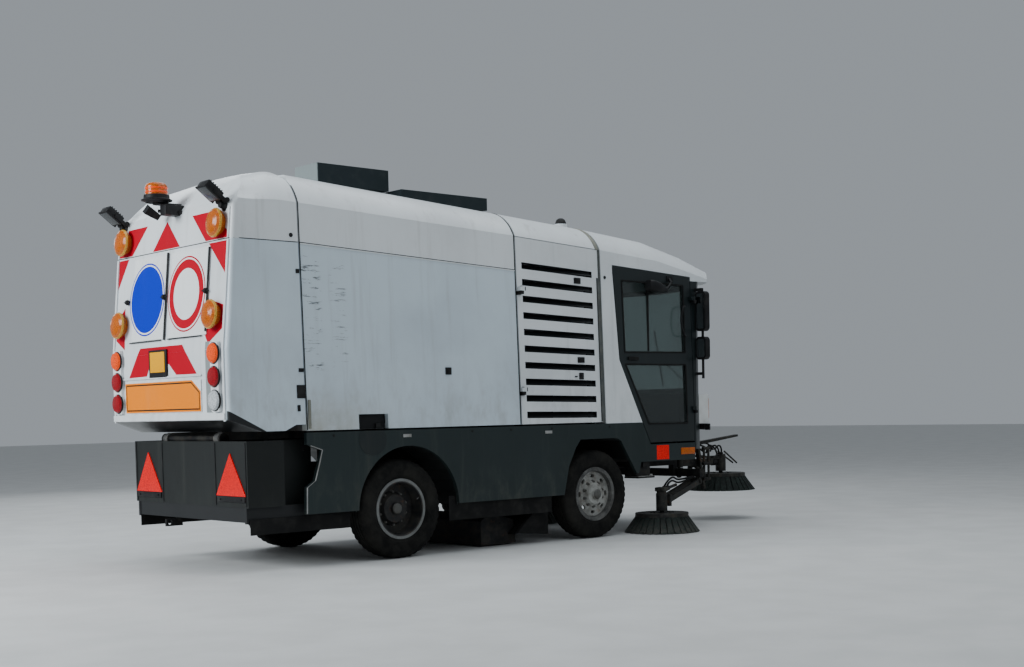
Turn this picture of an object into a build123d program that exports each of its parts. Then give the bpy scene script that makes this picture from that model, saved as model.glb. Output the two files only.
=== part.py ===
"""Compact road sweeper with a tipping hopper, an engine bay behind the cab and three brushes.

Millimetres. +X is forward, +Y is the left side, +Z is up, and the ground is z = 0.
The origin is on the ground, midway along the overall length.
"""
from build123d import *
import math
import os

os.makedirs("parts", exist_ok=True)

# Running gear
wheelbase = 2300
rear_axle_x = -1727
tyre_radius = 419
tyre_width = 245
rim_flange_radius = 256
rim_barrel_radius = 236
rim_inner_radius = 222
wheel_centre_y = 838
kingpin_y = 660
stub_radius = 38
running_gap = 0.3
hub_gap = 0.5

# Body shell
half_width = 1000
body_bottom_z = 1100
side_lean = 0.028
shoulder_y = 680
panel = 45
seam_gap = 6
seat_gap = 0.3

# Stations along the body, measured forward from the rear axle
tailgate_seam = -957
engine_seam = 1328
cab_seam = 2388
cab_side_end = 3690
hinge_station = -1400

# Chassis
rail_y = 420
rail_width = 70
rail_bottom_z = 620
rail_height = 180
hopper_rail_bottom_z = 1035
hopper_rail_height = 65

# Lower bodywork
skirt_bottom_z = 435
skirt_gap = 15
skirt_thickness = 40

# Hopper
tip_pin_radius = 25
tip_hinge_z = 1050

# Wheels and brushes
hand_holes = 8
brush_plate_radius = 260
brush_tip_radius = 370
brush_plate_z = 190
brush_ground_gap = 6
brush_tines = 32


def ahead(distance):
    """X of a station at a distance forward of the rear axle."""
    return rear_axle_x + distance


front_axle_x = ahead(wheelbase)
sides = (("right", -1), ("left", 1))


def side_y(z):
    """Half width of the leaning body side at height z."""
    return half_width - side_lean * (z - body_bottom_z)


def body_section(x, crease_z, shoulder_z, crown_z, inset, bottom_z):
    """Cross-section of the body: leaning sides, a crease, rounded shoulders and a crowned roof."""
    crease_y = side_y(crease_z) - inset
    shoulder = (shoulder_y - 0.3 * inset, shoulder_z - 0.9 * inset)
    crease = (crease_y, crease_z - 0.5 * inset)
    bulge = (0.5 * (crease[0] + shoulder[0]) + 27, 0.5 * (crease[1] + shoulder[1]) + 30)
    with BuildSketch(Plane.YZ.offset(x)) as sketch:
        with BuildLine():
            Polyline(
                (-crease[0], crease[1]),
                (inset - side_y(bottom_z), bottom_z),
                (side_y(bottom_z) - inset, bottom_z),
                crease,
            )
            ThreePointArc(crease, bulge, shoulder)
            ThreePointArc(shoulder, (0, crown_z - inset), (-shoulder[0], shoulder[1]))
            ThreePointArc((-shoulder[0], shoulder[1]), (-bulge[0], bulge[1]), (-crease[0], crease[1]))
        make_face()
    return sketch.sketch


def roof_heights(station):
    """Crease, shoulder and crown heights at a station, from the table of body stations."""
    table = roof_stations
    for (a, *low), (b, *high) in zip(table, table[1:]):
        if station <= b or b == table[-1][0]:
            t = (station - a) / (b - a)
            return [p + t * (q - p) for p, q in zip(low, high)]


# Station ahead of the rear axle, crease, shoulder and crown heights
roof_stations = (
    (-1700, 2935, 3195, 3230),
    (-957, 2902, 3162, 3197),
    (1328, 2790, 3018, 3053),
    (2388, 2728, 2950, 2986),
    (3200, 2665, 2882, 2922),
    (3700, 2570, 2770, 2815),
    (4300, 2440, 2560, 2620),
)


def body_length(start, end, inset, bottom_z):
    """Solid of the body between two stations, inset from the outer skin."""
    stops = [start] + [row[0] for row in roof_stations if start < row[0] < end] + [end]
    faces = [body_section(ahead(s), *roof_heights(s), inset, bottom_z) for s in stops]
    with BuildPart() as length:
        loft(faces, ruled=True)
    return length.part


def side_prism(points, low_y=-1300, high_y=1300):
    """Prism across the body from an outline drawn on its side: stations and heights."""
    with BuildPart() as prism:
        with BuildSketch(Plane.XZ.offset(-high_y)):
            with BuildLine():
                Polyline(*[(ahead(s), z) for s, z in points], close=True)
            make_face()
        extrude(amount=high_y - low_y)
    return prism.part


def seam_z(station):
    """Height of the long seam below the crease, which falls towards the front."""
    return 2586 - 0.0455 * (station - tailgate_seam)


def save(name, part):
    """Label a finished piece and write it."""
    part.label = name
    export_step(part, f"parts/{name}.step")


# Wheels and tyres
def build_rim(x, sign, steering):
    """Pressed steel wheel: flanged barrel, a dished or domed disc and a hub."""
    disc_y = 62 if steering else -38
    nave_y = 105 if steering else 20
    hub_radius = 95 if steering else 118
    # Radius and distance outwards from the wheel's centre plane
    outline = (
        (stub_radius + hub_gap, -40),
        (hub_radius, -40),
        (hub_radius, disc_y - 14),
        (rim_inner_radius - 6, disc_y - 24),
        (rim_inner_radius, -102),
        (rim_flange_radius, -102),
        (rim_flange_radius, -94),
        (rim_barrel_radius, -94),
        (rim_barrel_radius, 94),
        (rim_flange_radius, 94),
        (rim_flange_radius, 102),
        (rim_inner_radius, 102),
        (rim_inner_radius - 4, disc_y),
        (hub_radius + 30, disc_y + 4),
        (hub_radius, nave_y),
        (54, nave_y + 4),
        (48, nave_y + 26),
        (0, nave_y + 26),
        (0, 24),
        (stub_radius + hub_gap, 24),
    )
    centre = (x, sign * wheel_centre_y, tyre_radius)
    with BuildPart() as rim:
        with BuildSketch(Plane(origin=centre, x_dir=(1, 0, 0), z_dir=(0, 0, 1))):
            with BuildLine():
                Polyline(*[(r, sign * out) for r, out in outline], close=True)
            make_face()
        revolve(axis=Axis((x, 0, tyre_radius), (0, 1, 0)), revolution_arc=360)
        if steering:
            with BuildSketch(Plane(origin=centre, x_dir=(1, 0, 0), z_dir=(0, sign, 0))):
                with PolarLocations(172, hand_holes):
                    SlotOverall(52, 30, rotation=90)
            extrude(amount=140, both=True, mode=Mode.SUBTRACT)
    return rim.part


def build_tyre(x, sign):
    """Truck tyre as a plain ring: beads on the barrel, round sidewalls and a flat tread."""
    bore = rim_barrel_radius + running_gap
    bead_y = 94 - running_gap
    wall_y = tyre_width / 2
    section_plane = Plane(origin=(x, sign * wheel_centre_y, tyre_radius), x_dir=(1, 0, 0), z_dir=(0, 0, 1))
    bead = ((264, 99), (258, bead_y), (bore, bead_y), (bore, -bead_y), (258, -bead_y), (264, -99))
    with BuildPart() as tyre:
        with BuildSketch(section_plane):
            with BuildLine():
                Polyline(
                    (tyre_radius - 12, -tyre_width * 0.41),
                    (tyre_radius, -tyre_width * 0.36),
                    (tyre_radius, tyre_width * 0.36),
                    (tyre_radius - 12, tyre_width * 0.41),
                )
                ThreePointArc((tyre_radius - 12, tyre_width * 0.41), (338, wall_y), (264, 99))
                Polyline(*bead)
                ThreePointArc((264, -99), (338, -wall_y), (tyre_radius - 12, -tyre_width * 0.41))
            make_face()
        revolve(axis=Axis((x, 0, tyre_radius), (0, 1, 0)), revolution_arc=360)
    return tyre.part


for end, x, steering in (("front", front_axle_x, True), ("rear", rear_axle_x, False)):
    for side, sign in sides:
        save(f"wheel_{end}_{side}", build_rim(x, sign, steering))
        save(f"tyre_{end}_{side}", build_tyre(x, sign))

# Axles
stub_tip_y = wheel_centre_y + 20
spring_seat_z = rail_bottom_z - seat_gap
with BuildPart() as rear_axle:
    with BuildSketch(Plane.XZ.offset(-stub_tip_y)):
        with Locations((rear_axle_x, tyre_radius)):
            Circle(stub_radius)
    extrude(amount=2 * stub_tip_y)
    with BuildSketch(Plane.XZ.offset(-(wheel_centre_y - 128))):
        with Locations((rear_axle_x, tyre_radius)):
            Circle(58)
    extrude(amount=2 * (wheel_centre_y - 128))
    with Locations((rear_axle_x, 0, tyre_radius)):
        Sphere(165)
    for sign in (-1, 1):
        with Locations((rear_axle_x, sign * rail_y, 0.5 * (spring_seat_z + tyre_radius))):
            Box(130, rail_width, spring_seat_z - tyre_radius)
save("rear_axle", rear_axle.part)

kingpin_radius = 15
boss_half_height = 45
with BuildPart() as front_axle:
    with BuildSketch(Plane.XZ.offset(-kingpin_y)):
        with Locations((front_axle_x, tyre_radius)):
            Rectangle(90, 80)
    extrude(amount=2 * kingpin_y)
    with Locations((front_axle_x, kingpin_y, tyre_radius), (front_axle_x, -kingpin_y, tyre_radius)):
        Cylinder(45, 2 * boss_half_height)
    for sign in (-1, 1):
        with Locations((front_axle_x, sign * rail_y, 0.5 * (spring_seat_z + tyre_radius))):
            Box(130, rail_width, spring_seat_z - tyre_radius)
    with Locations((front_axle_x, kingpin_y, tyre_radius), (front_axle_x, -kingpin_y, tyre_radius)):
        Cylinder(kingpin_radius + running_gap, 3 * boss_half_height, mode=Mode.SUBTRACT)
save("front_axle", front_axle.part)

ear_gap = 5
ear_height = 32
knuckle_height = 2 * (boss_half_height + ear_gap + ear_height)
for side, sign in sides:
    with BuildPart() as knuckle:
        web_y = kingpin_y + 52
        with Locations((front_axle_x, sign * (web_y + 8), tyre_radius)):
            Box(104, 16, knuckle_height)
        for ear in (-1, 1):
            ear_z = tyre_radius + ear * (boss_half_height + ear_gap + ear_height / 2)
            with Locations((front_axle_x, sign * (kingpin_y + 27), ear_z)):
                Box(80, 54, ear_height)
            with Locations((front_axle_x, sign * kingpin_y, ear_z)):
                Cylinder(40, ear_height)
        with Locations((front_axle_x, sign * kingpin_y, tyre_radius)):
            Cylinder(kingpin_radius, knuckle_height)
        with BuildSketch(Plane.XZ.offset(-sign * (web_y + 8))):
            with Locations((front_axle_x, tyre_radius)):
                Circle(stub_radius)
        extrude(amount=-sign * (stub_tip_y - web_y - 8))
    save(f"knuckle_{side}", knuckle.part)

# Chassis: two rails, cross-members, outriggers, rest pads, tip hinge lugs and brush carrier
rail_rear = -1440
rail_front = 3960
rail_top_z = rail_bottom_z + rail_height
outrigger_z = 1000
outrigger_height = 40
outrigger_tip_y = half_width - skirt_thickness - seat_gap
# Stations of the outriggers that carry the lower bodywork
outrigger_stations = (-760, 760, 1378, 2328)
cross_stations = (-1410, -500, 620, 1720, 2480, 3400)
carrier_station = 4010
carrier_z = 540
carrier_half = 790
hoop_half_y = 900
slew_y = 720
slew_pin_radius = 16
lift_pin_radius = 14
boom_station = 4110
boom_y = -380
mouth_pin_station = 1720
mouth_pin_z = 240
hinge_radius = 11
hinge_pin_radius = 5
hinge_axis_y = 1017
engine_hinge_station = 1341
engine_hinge_heights = (1400, 2303)
tow_hole_radius = 20
tow_eyes = ((-1490, 300, 350), (4105, 300, 540))


def bay_hoop(station):
    """Frame across the engine bay that stands on two outriggers and follows the inside of the roof."""
    foot_z = outrigger_z + outrigger_height / 2 + seat_gap
    with BuildPart() as hoop:
        add(body_length(station - 20, station + 20, panel + 2 * seat_gap, foot_z))
        add(body_length(station - 30, station + 30, panel + 100, foot_z - 10), mode=Mode.SUBTRACT)
        with Locations((ahead(station), 0, 2000)):
            Box(60, 2 * hoop_half_y, 3000, mode=Mode.INTERSECT)
    return hoop.part


def hinge_knuckle(x, y, low_z, high_z, leaf_ends, leaf_y):
    """Barrel on an upright hinge axis, with a leaf between two stations that reaches into a panel."""
    middle_z = 0.5 * (low_z + high_z)
    with BuildPart() as knuckle_form:
        with Locations((x, y, middle_z)):
            Cylinder(hinge_radius, high_z - low_z)
        with Locations((ahead(0.5 * sum(leaf_ends)), 0.5 * (y + leaf_y), middle_z)):
            Box(leaf_ends[1] - leaf_ends[0], abs(y - leaf_y), high_z - low_z)
    return knuckle_form.part


lug_inner_y = rail_y + rail_width / 2 + 6
rail_middle = 0.5 * (rail_rear + rail_front)
strut_z = 0.5 * (outrigger_z + rail_bottom_z + 60) + 5
with BuildPart() as chassis_frame:
    for sign in (-1, 1):
        with Locations((ahead(rail_middle), sign * rail_y, rail_bottom_z + rail_height / 2)):
            Box(rail_front - rail_rear, rail_width, rail_height)
        # Riser and pad under the hopper's rail
        for station in (-400, 1180):
            pad_top = hopper_rail_bottom_z - seat_gap
            with Locations((ahead(station), sign * rail_y, 0.5 * (pad_top + rail_top_z))):
                Box(120, rail_width, pad_top - rail_top_z)
        # Tip hinge lug, rounded over the pin, standing on the rail
        with BuildSketch(Plane.XZ.offset(-sign * lug_inner_y)):
            with Locations((ahead(hinge_station), tip_hinge_z)):
                Circle(44)
            with Locations((ahead(hinge_station), 0.5 * (tip_hinge_z + rail_top_z - 90))):
                Rectangle(88, tip_hinge_z - rail_top_z + 90)
        extrude(amount=-sign * 20)
        with Locations((ahead(hinge_station), sign * (lug_inner_y - 3), rail_top_z - 45)):
            Box(88, 6.5, 90)
        # Brush carrier drop bracket
        with Locations((ahead(carrier_station - 40), sign * rail_y, 0.5 * (carrier_z + rail_top_z) - 15)):
            Box(60, rail_width, rail_top_z - carrier_z + 30)
    for station in cross_stations:
        with Locations((ahead(station), 0, rail_bottom_z + 90)):
            Box(60, 2 * rail_y, 120)
    for station in outrigger_stations:
        for sign in (-1, 1):
            with Locations((ahead(station), sign * 0.5 * (outrigger_tip_y + rail_y + 42), outrigger_z)):
                Box(60, outrigger_tip_y - rail_y - 42, outrigger_height)
            with Locations((ahead(station), sign * (rail_y + 50), strut_z)):
                Box(60, 40, outrigger_z - rail_bottom_z - 40)
    with Locations((ahead(carrier_station), 0, carrier_z)):
        Box(70, 2 * carrier_half, 80)
    with BuildSketch(Plane.XZ.offset(-lug_inner_y)):
        with Locations((ahead(hinge_station), tip_hinge_z)):
            Circle(tip_pin_radius)
    extrude(amount=2 * lug_inner_y)
    for sign in (-1, 1):
        # Brackets for the suction mouth
        with Locations((ahead(mouth_pin_station), sign * 386, 0.5 * (mouth_pin_z - 36 + rail_bottom_z + 60))):
            Box(60, 40, rail_bottom_z + 96 - mouth_pin_z)
        with Locations((ahead(carrier_station), sign * slew_y, carrier_z)):
            Cylinder(slew_pin_radius + running_gap, 100, mode=Mode.SUBTRACT)
    with BuildSketch(Plane.XZ.offset(-400)):
        with Locations((ahead(mouth_pin_station), mouth_pin_z)):
            Circle(lift_pin_radius)
    extrude(amount=800)
    # Lug for the front boom
    with Locations((ahead(0.5 * (carrier_station + boom_station)), boom_y, carrier_z)):
        Box(boom_station - carrier_station, 90, 80)
    with Locations((ahead(boom_station), boom_y, carrier_z)):
        Cylinder(45, 80)
    with Locations((ahead(boom_station), boom_y, carrier_z)):
        Cylinder(slew_pin_radius + running_gap, 100, mode=Mode.SUBTRACT)
    # Towing eyes
    with Locations((ahead(-1400), tow_eyes[0][1], 505)):
        Box(50, 24, 350)
    with Locations((ahead(-1450), tow_eyes[0][1], tow_eyes[0][2])):
        Box(150, 24, 60)
    with BuildSketch(Plane.XZ.offset(-tow_eyes[0][1] - 50)):
        with Locations((ahead(tow_eyes[0][0]), tow_eyes[0][2])):
            Circle(tow_hole_radius)
    extrude(amount=100, mode=Mode.SUBTRACT)
    with Locations((ahead(4090), tow_eyes[1][1], tow_eyes[1][2])):
        Box(100, 90, 24)
    with Locations((ahead(tow_eyes[1][0]), tow_eyes[1][1], tow_eyes[1][2])):
        Cylinder(tow_hole_radius, 60, mode=Mode.SUBTRACT)
save("chassis_frame", chassis_frame.part)

with BuildPart() as engine_bay_hoops:
    for station in outrigger_stations[2:]:
        add(bay_hoop(station))
    engine_hinge_x = ahead(engine_hinge_station)
    for sign in (-1, 1):
        for hinge_z in engine_hinge_heights:
            low_z = hinge_z - 35
            leaf = (engine_hinge_station + 4, engine_hinge_station + 34)
            leaf_y = sign * (hoop_half_y - 20)
            add(hinge_knuckle(engine_hinge_x, sign * hinge_axis_y, low_z, hinge_z - 5, leaf, leaf_y))
            with Locations((engine_hinge_x, sign * hinge_axis_y, hinge_z)):
                Cylinder(hinge_pin_radius, 64)
save("engine_bay_hoops", engine_bay_hoops.part)

with BuildPart() as engine_block:
    block_station = 0.5 * (engine_seam + cab_seam)
    with Locations((ahead(block_station), 0, rail_top_z + seat_gap + 380)):
        Box(820, 820, 760)
    chamfer(engine_block.edges().filter_by(Axis.X).sort_by(Axis.Z)[-2:], 60)
save("engine_block", engine_block.part)

# Hopper: side panels, roof cap, floor with front wall and rails
hopper_rear = tailgate_seam + seam_gap / 2 + 1
hopper_front = engine_seam - seam_gap
hopper_outer = body_length(hopper_rear, hopper_front, 0, body_bottom_z)
hopper_inner = body_length(hopper_rear - 5, hopper_front - panel, panel, body_bottom_z + panel)
with BuildPart() as hopper_shell:
    add(hopper_outer)
    add(hopper_inner, mode=Mode.SUBTRACT)

groove_depth = 110
groove_width = 95
above_seam = side_prism(
    (
        (hopper_rear - 20, seam_z(hopper_rear)),
        (hopper_front + 20, seam_z(hopper_front)),
        (hopper_front + 20, 3400),
        (hopper_rear - 20, 3400),
    )
)
below_seam_points = (
    (hopper_rear - 20, seam_z(hopper_rear) - seat_gap),
    (hopper_front + 20, seam_z(hopper_front) - seat_gap),
    (hopper_front + 20, body_bottom_z - 100),
    (hopper_rear - 20, body_bottom_z - 100),
)
crown_rear_z = roof_heights(tailgate_seam)[2]
groove = side_prism(
    (
        (tailgate_seam, crown_rear_z - groove_depth),
        (tailgate_seam + groove_width, crown_rear_z + 5),
        (tailgate_seam - groove_width, crown_rear_z + 5),
    )
)
gate_hinge_z = crown_rear_z - 47
gate_barrel_radius = 22
gate_pin_radius = 10


def gate_hinge(y, width, reach):
    """Barrel on the tailgate's hinge axis with a leaf reaching forwards or backwards."""
    with BuildPart() as gate_knuckle:
        with BuildSketch(Plane.XZ.offset(-y - width / 2)):
            with Locations((ahead(tailgate_seam), gate_hinge_z)):
                Circle(gate_barrel_radius)
            with Locations((ahead(tailgate_seam + reach / 2), gate_hinge_z)):
                Rectangle(abs(reach), 26)
        extrude(amount=width)
    return gate_knuckle.part


with BuildPart() as hopper_roof:
    add(hopper_shell.part)
    add(above_seam, mode=Mode.INTERSECT)
    add(groove, mode=Mode.SUBTRACT)
    for hinge_y in (-400, 400):
        add(gate_hinge(hinge_y, 50, 80))
        with BuildSketch(Plane.XZ.offset(-hinge_y - 80)):
            with Locations((ahead(tailgate_seam), gate_hinge_z)):
                Circle(gate_pin_radius)
        extrude(amount=160)
save("hopper_roof", hopper_roof.part)

side_cut_y = half_width - 70
notch_station = -301
notch_width = 296
notch_height = 122
for side, sign in sides:
    with BuildPart() as hopper_side:
        add(hopper_shell.part)
        low, high = sorted((sign * side_cut_y, sign * 1300))
        add(side_prism(below_seam_points, low, high), mode=Mode.INTERSECT)
        with Locations((ahead(notch_station), sign * half_width, body_bottom_z)):
            Box(notch_width, 130, 2 * notch_height, mode=Mode.SUBTRACT)
    save(f"hopper_side_{side}", hopper_side.part)

with BuildPart() as hopper_tub:
    tub_half = side_cut_y - seat_gap
    add(hopper_shell.part)
    add(side_prism(below_seam_points, -tub_half, tub_half), mode=Mode.INTERSECT)
    with Locations((ahead(hopper_front - panel / 2), 0, 0.5 * (body_bottom_z + 2400))):
        Box(panel, 2 * tub_half, 2400 - body_bottom_z)
    rail_end = hinge_station
    rail_length = hopper_front - 40 - rail_end
    rail_middle_z = hopper_rail_bottom_z + hopper_rail_height / 2
    for sign in (-1, 1):
        with Locations((ahead(rail_end + rail_length / 2), sign * rail_y, rail_middle_z)):
            Box(rail_length, rail_width, hopper_rail_height)
        with BuildSketch(Plane.XZ.offset(-(sign * rail_y - rail_width / 2 + rail_width))):
            with Locations((ahead(hinge_station), tip_hinge_z)):
                Circle(44)
        extrude(amount=rail_width)
    with BuildSketch(Plane.XZ.offset(-half_width)):
        with Locations((ahead(hinge_station), tip_hinge_z)):
            Circle(tip_pin_radius + running_gap)
    extrude(amount=2 * half_width, mode=Mode.SUBTRACT)
save("hopper_tub", hopper_tub.part)


# Tailgate: a hollow cap that wraps round both rear corners and leans forward at the top
tailgate_front = tailgate_seam - seam_gap / 2 - 1
face_station = -1633
lean_start_z = 1750
lean_top = (-1530, 2850)
tailgate_bottom_z = 1104
tailgate_rear_half = 962
tailgate_corner_radius = 32


def tailgate_profile(inset, front):
    """Side view of the tailgate: hanging sump, upright then leaning face and a round top."""
    with BuildPart() as prism:
        with BuildSketch(Plane.XZ.offset(-1300)):
            with BuildLine():
                Polyline(
                    (ahead(lean_top[0] + inset), lean_top[1]),
                    (ahead(face_station + inset), lean_start_z),
                    (ahead(face_station + inset), 1200 + inset),
                    (ahead(-1360), tailgate_bottom_z + inset),
                    (ahead(-1150), tailgate_bottom_z + inset),
                    (ahead(-1050), 1150 + inset),
                    (ahead(front), 1150 + inset),
                    (ahead(front), 3300),
                    (ahead(-1150 + inset), 3300),
                    (ahead(-1150 + inset), 3222 - inset),
                )
                ThreePointArc(
                    (ahead(-1150 + inset), 3222 - inset),
                    (ahead(-1428 + 0.8 * inset), 3080 - 0.6 * inset),
                    (ahead(lean_top[0] + inset), lean_top[1]),
                )
            make_face()
        extrude(amount=2600)
    return prism.part


def tailgate_plan(inset, front):
    """Plan of the tailgate, whose sides draw in gently towards the rear."""
    rear_half = tailgate_rear_half - inset
    waist = (-1460, 989 - inset)
    with BuildPart() as prism:
        with BuildSketch(Plane.XY.offset(900)):
            with BuildLine():
                ThreePointArc(
                    (ahead(-1230), inset - half_width),
                    (ahead(waist[0]), -waist[1]),
                    (ahead(-1680 + inset), -rear_half),
                )
                Polyline((ahead(-1680 + inset), -rear_half), (ahead(-1680 + inset), rear_half))
                ThreePointArc(
                    (ahead(-1680 + inset), rear_half),
                    (ahead(waist[0]), waist[1]),
                    (ahead(-1230), half_width - inset),
                )
                Polyline(
                    (ahead(-1230), half_width - inset),
                    (ahead(front), half_width - inset),
                    (ahead(front), inset - half_width),
                    (ahead(-1230), inset - half_width),
                )
            make_face()
        extrude(amount=2500)
    return prism.part


def tailgate_solid(inset, front):
    """Tailgate form from its section, side view and plan."""
    with BuildPart() as solid:
        add(body_length(-1690, front, inset, 1000))
        add(tailgate_profile(inset, front), mode=Mode.INTERSECT)
        add(tailgate_plan(inset, front), mode=Mode.INTERSECT)
    return solid.part


def corner_edge(edge):
    """Whether an edge runs up a rear corner of the tailgate, between its face and a side."""
    middle = edge @ 0.5
    return middle.X < ahead(-1500) and abs(middle.Y) > 900 and edge.length > 300


with BuildPart() as tailgate_shell:
    add(tailgate_solid(0, tailgate_front))
    fillet(tailgate_shell.edges().filter_by(corner_edge), tailgate_corner_radius)
    add(tailgate_solid(panel, tailgate_front + 20), mode=Mode.SUBTRACT)
    add(groove, mode=Mode.SUBTRACT)

tailgate_seam_z = seam_z(tailgate_seam)
tailgate_face_half = 900
with BuildPart() as tailgate_cap:
    add(tailgate_shell.part)
    add(
        side_prism(((-1800, tailgate_seam_z), (-900, tailgate_seam_z), (-900, 3400), (-1800, 3400))),
        mode=Mode.INTERSECT,
    )
    for hinge_y in (-453, -347, 347, 453):
        add(gate_hinge(hinge_y, 50, -80))
    with BuildSketch(Plane.XZ.offset(-half_width)):
        with Locations((ahead(tailgate_seam), gate_hinge_z)):
            Circle(gate_pin_radius + running_gap)
    extrude(amount=2 * half_width, mode=Mode.SUBTRACT)
save("tailgate_cap", tailgate_cap.part)

lower_tailgate = (
    (-1800, tailgate_seam_z - seat_gap),
    (-900, tailgate_seam_z - seat_gap),
    (-900, 1000),
    (-1800, 1000),
)
corner_inner = tailgate_face_half + seat_gap
with BuildPart() as tailgate_corners:
    add(tailgate_shell.part)
    add(side_prism(lower_tailgate, -corner_inner, corner_inner), mode=Mode.SUBTRACT)
    add(side_prism(lower_tailgate), mode=Mode.INTERSECT)
save("tailgate_corners", tailgate_corners.part)
with BuildPart() as tailgate_face:
    add(tailgate_shell.part)
    add(side_prism(lower_tailgate, -tailgate_face_half, tailgate_face_half), mode=Mode.INTERSECT)
save("tailgate_face", tailgate_face.part)

# Fittings on the tailgate, laid out on its leaning face and on its upright lower face
lean_dx = lean_top[0] - face_station
lean_dz = lean_top[1] - lean_start_z
lean_length = math.hypot(lean_dx, lean_dz)
leaning_face = Plane(
    origin=(ahead(face_station), 0, lean_start_z),
    x_dir=(0, -1, 0),
    z_dir=(-lean_dz / lean_length, 0, lean_dx / lean_length),
)
upright_face = Plane(origin=(ahead(face_station), 0, 0), x_dir=(0, -1, 0), z_dir=(-1, 0, 0))
board_thickness = 8
# Rightward centre on the face, height above the start of the lean, width and height
sign_boards_table = ((-310, 462, 580, 690), (350, 462, 610, 690))
with BuildPart() as sign_boards:
    with BuildSketch(leaning_face.offset(seat_gap)):
        for across, up, width, height in sign_boards_table:
            with Locations((across, up)):
                Rectangle(width, height)
    extrude(amount=board_thickness)
    with BuildSketch(upright_face.offset(seat_gap)):
        with Locations((-70, 1394)):
            Rectangle(1280, 250)
    extrude(amount=board_thickness)
save("blank_boards", sign_boards.part)

lamp_column_y = 815
lamp_heights = (1715, 1534, 1352)
lamp_radius = 74
with BuildPart() as tail_lamps:
    for sign in (-1, 1):
        with BuildSketch(upright_face.offset(seat_gap)):
            with Locations((sign * lamp_column_y, 1534)):
                RectangleRounded(118, 540, 20)
        extrude(amount=26)
        for height in lamp_heights:
            with BuildSketch(upright_face.offset(seat_gap + 20)):
                with Locations((sign * lamp_column_y, height)):
                    Circle(lamp_radius)
            extrude(amount=28, taper=12)
save("tail_lamps", tail_lamps.part)

# Amber flasher profile: radius and depth off the face
flasher_outline = ((0, 0), (62, 0), (76, 32), (106, 40), (112, 52), (106, 66), (84, 82), (45, 94), (0, 98))
flasher_spots = ((-780, 966), (780, 966), (-775, 262), (775, 262))
with BuildPart() as amber_flashers:
    for across, up in flasher_spots:
        centre = leaning_face.offset(seat_gap).from_local_coords((across, up, 0))
        turn = Plane(origin=centre, x_dir=leaning_face.x_dir, z_dir=leaning_face.y_dir)
        with BuildSketch(turn):
            with BuildLine():
                Polyline(*[(r, -d) for r, d in flasher_outline], close=True)
            make_face()
        revolve(axis=Axis(centre, leaning_face.z_dir), revolution_arc=360)
save("amber_flashers", amber_flashers.part)

# Engine cover, seal and the two louvred doors
bay_rear = engine_seam + seam_gap + 2
bay_front = cab_seam - 24
bay_length = (bay_rear, bay_front)
with BuildPart() as bay_shell:
    add(body_length(*bay_length, 0, body_bottom_z))
    add(body_length(bay_rear - 5, bay_front + 5, panel, body_bottom_z - 10), mode=Mode.SUBTRACT)


def crease_line(clearance, top):
    """Outline above or below the crease between the two ends of the engine bay."""
    low = roof_heights(bay_rear - 10)[0] + clearance
    high = roof_heights(bay_front + 10)[0] + clearance
    return ((bay_rear - 10, low), (bay_front + 10, high), (bay_front + 10, top), (bay_rear - 10, top))


with BuildPart() as engine_roof:
    add(bay_shell.part)
    add(side_prism(crease_line(0, 3400)), mode=Mode.INTERSECT)
    with Locations((ahead(2285), -550, roof_heights(2285)[1] + 12)):
        Cylinder(62, 70)
    fillet(engine_roof.edges().filter_by(GeomType.CIRCLE).sort_by(Axis.Z)[-1], 20)
save("engine_roof", engine_roof.part)

louvres = 10
louvre_left = (1402, 2529, 149.4)
louvre_right = (2282, 2487, 146.1)
louvre_height = 58
blade_thickness = 5
blade_width = 62
blade_depth = 34
for side, sign in sides:
    low, high = sorted((sign * 500, sign * 1300))
    with BuildPart() as engine_door:
        add(bay_shell.part)
        add(side_prism(crease_line(-seam_gap, body_bottom_z), low, high), mode=Mode.INTERSECT)
        for slot in range(louvres):
            left_z = louvre_left[1] - slot * louvre_left[2]
            right_z = louvre_right[1] - slot * louvre_right[2]
            half = louvre_height / 2
            add(
                side_prism(
                    (
                        (louvre_left[0], left_z - half),
                        (louvre_right[0], right_z - half),
                        (louvre_right[0], right_z + half),
                        (louvre_left[0], left_z + half),
                    ),
                    low,
                    high,
                ),
                mode=Mode.SUBTRACT,
            )
            middle = (ahead(0.5 * (louvre_left[0] + louvre_right[0])), 0.5 * (left_z + right_z))
            tilt = math.degrees(math.atan2(left_z - right_z, louvre_right[0] - louvre_left[0]))
            blade_y = sign * (side_y(middle[1]) - blade_depth)
            with Locations(Location((middle[0], blade_y, middle[1]), (sign * 48, tilt, 0))):
                Box(louvre_right[0] - louvre_left[0] + 8, blade_thickness, blade_width)
        for hinge_z in engine_hinge_heights:
            with Locations((ahead(bay_rear + 19), sign * half_width, hinge_z - 20)):
                Box(52, 240, 42, mode=Mode.SUBTRACT)
            low_z = hinge_z - 5 + seat_gap
            leaf = (bay_rear, bay_rear + 50)
            leaf_y = sign * (side_y(hinge_z) - 20)
            add(hinge_knuckle(engine_hinge_x, sign * hinge_axis_y, low_z, hinge_z + 32, leaf, leaf_y))
            with Locations((engine_hinge_x, sign * hinge_axis_y, hinge_z)):
                Cylinder(hinge_pin_radius + running_gap, 80, mode=Mode.SUBTRACT)
    save(f"engine_door_{side}", engine_door.part)


# Lower bodywork: one dark skirt down each side with a round rear arch and a cut front arch
skirt_top_z = body_bottom_z - skirt_gap
rear_arch = ((585, skirt_bottom_z), (57, 950), (-471, skirt_bottom_z))
# Dented rear edge, going up from the bottom rear corner
torn_edge = ((-978, skirt_bottom_z), (-971, 648), (-893, 699), (-845, 850), (-819, 943), (-960, 990))
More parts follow.
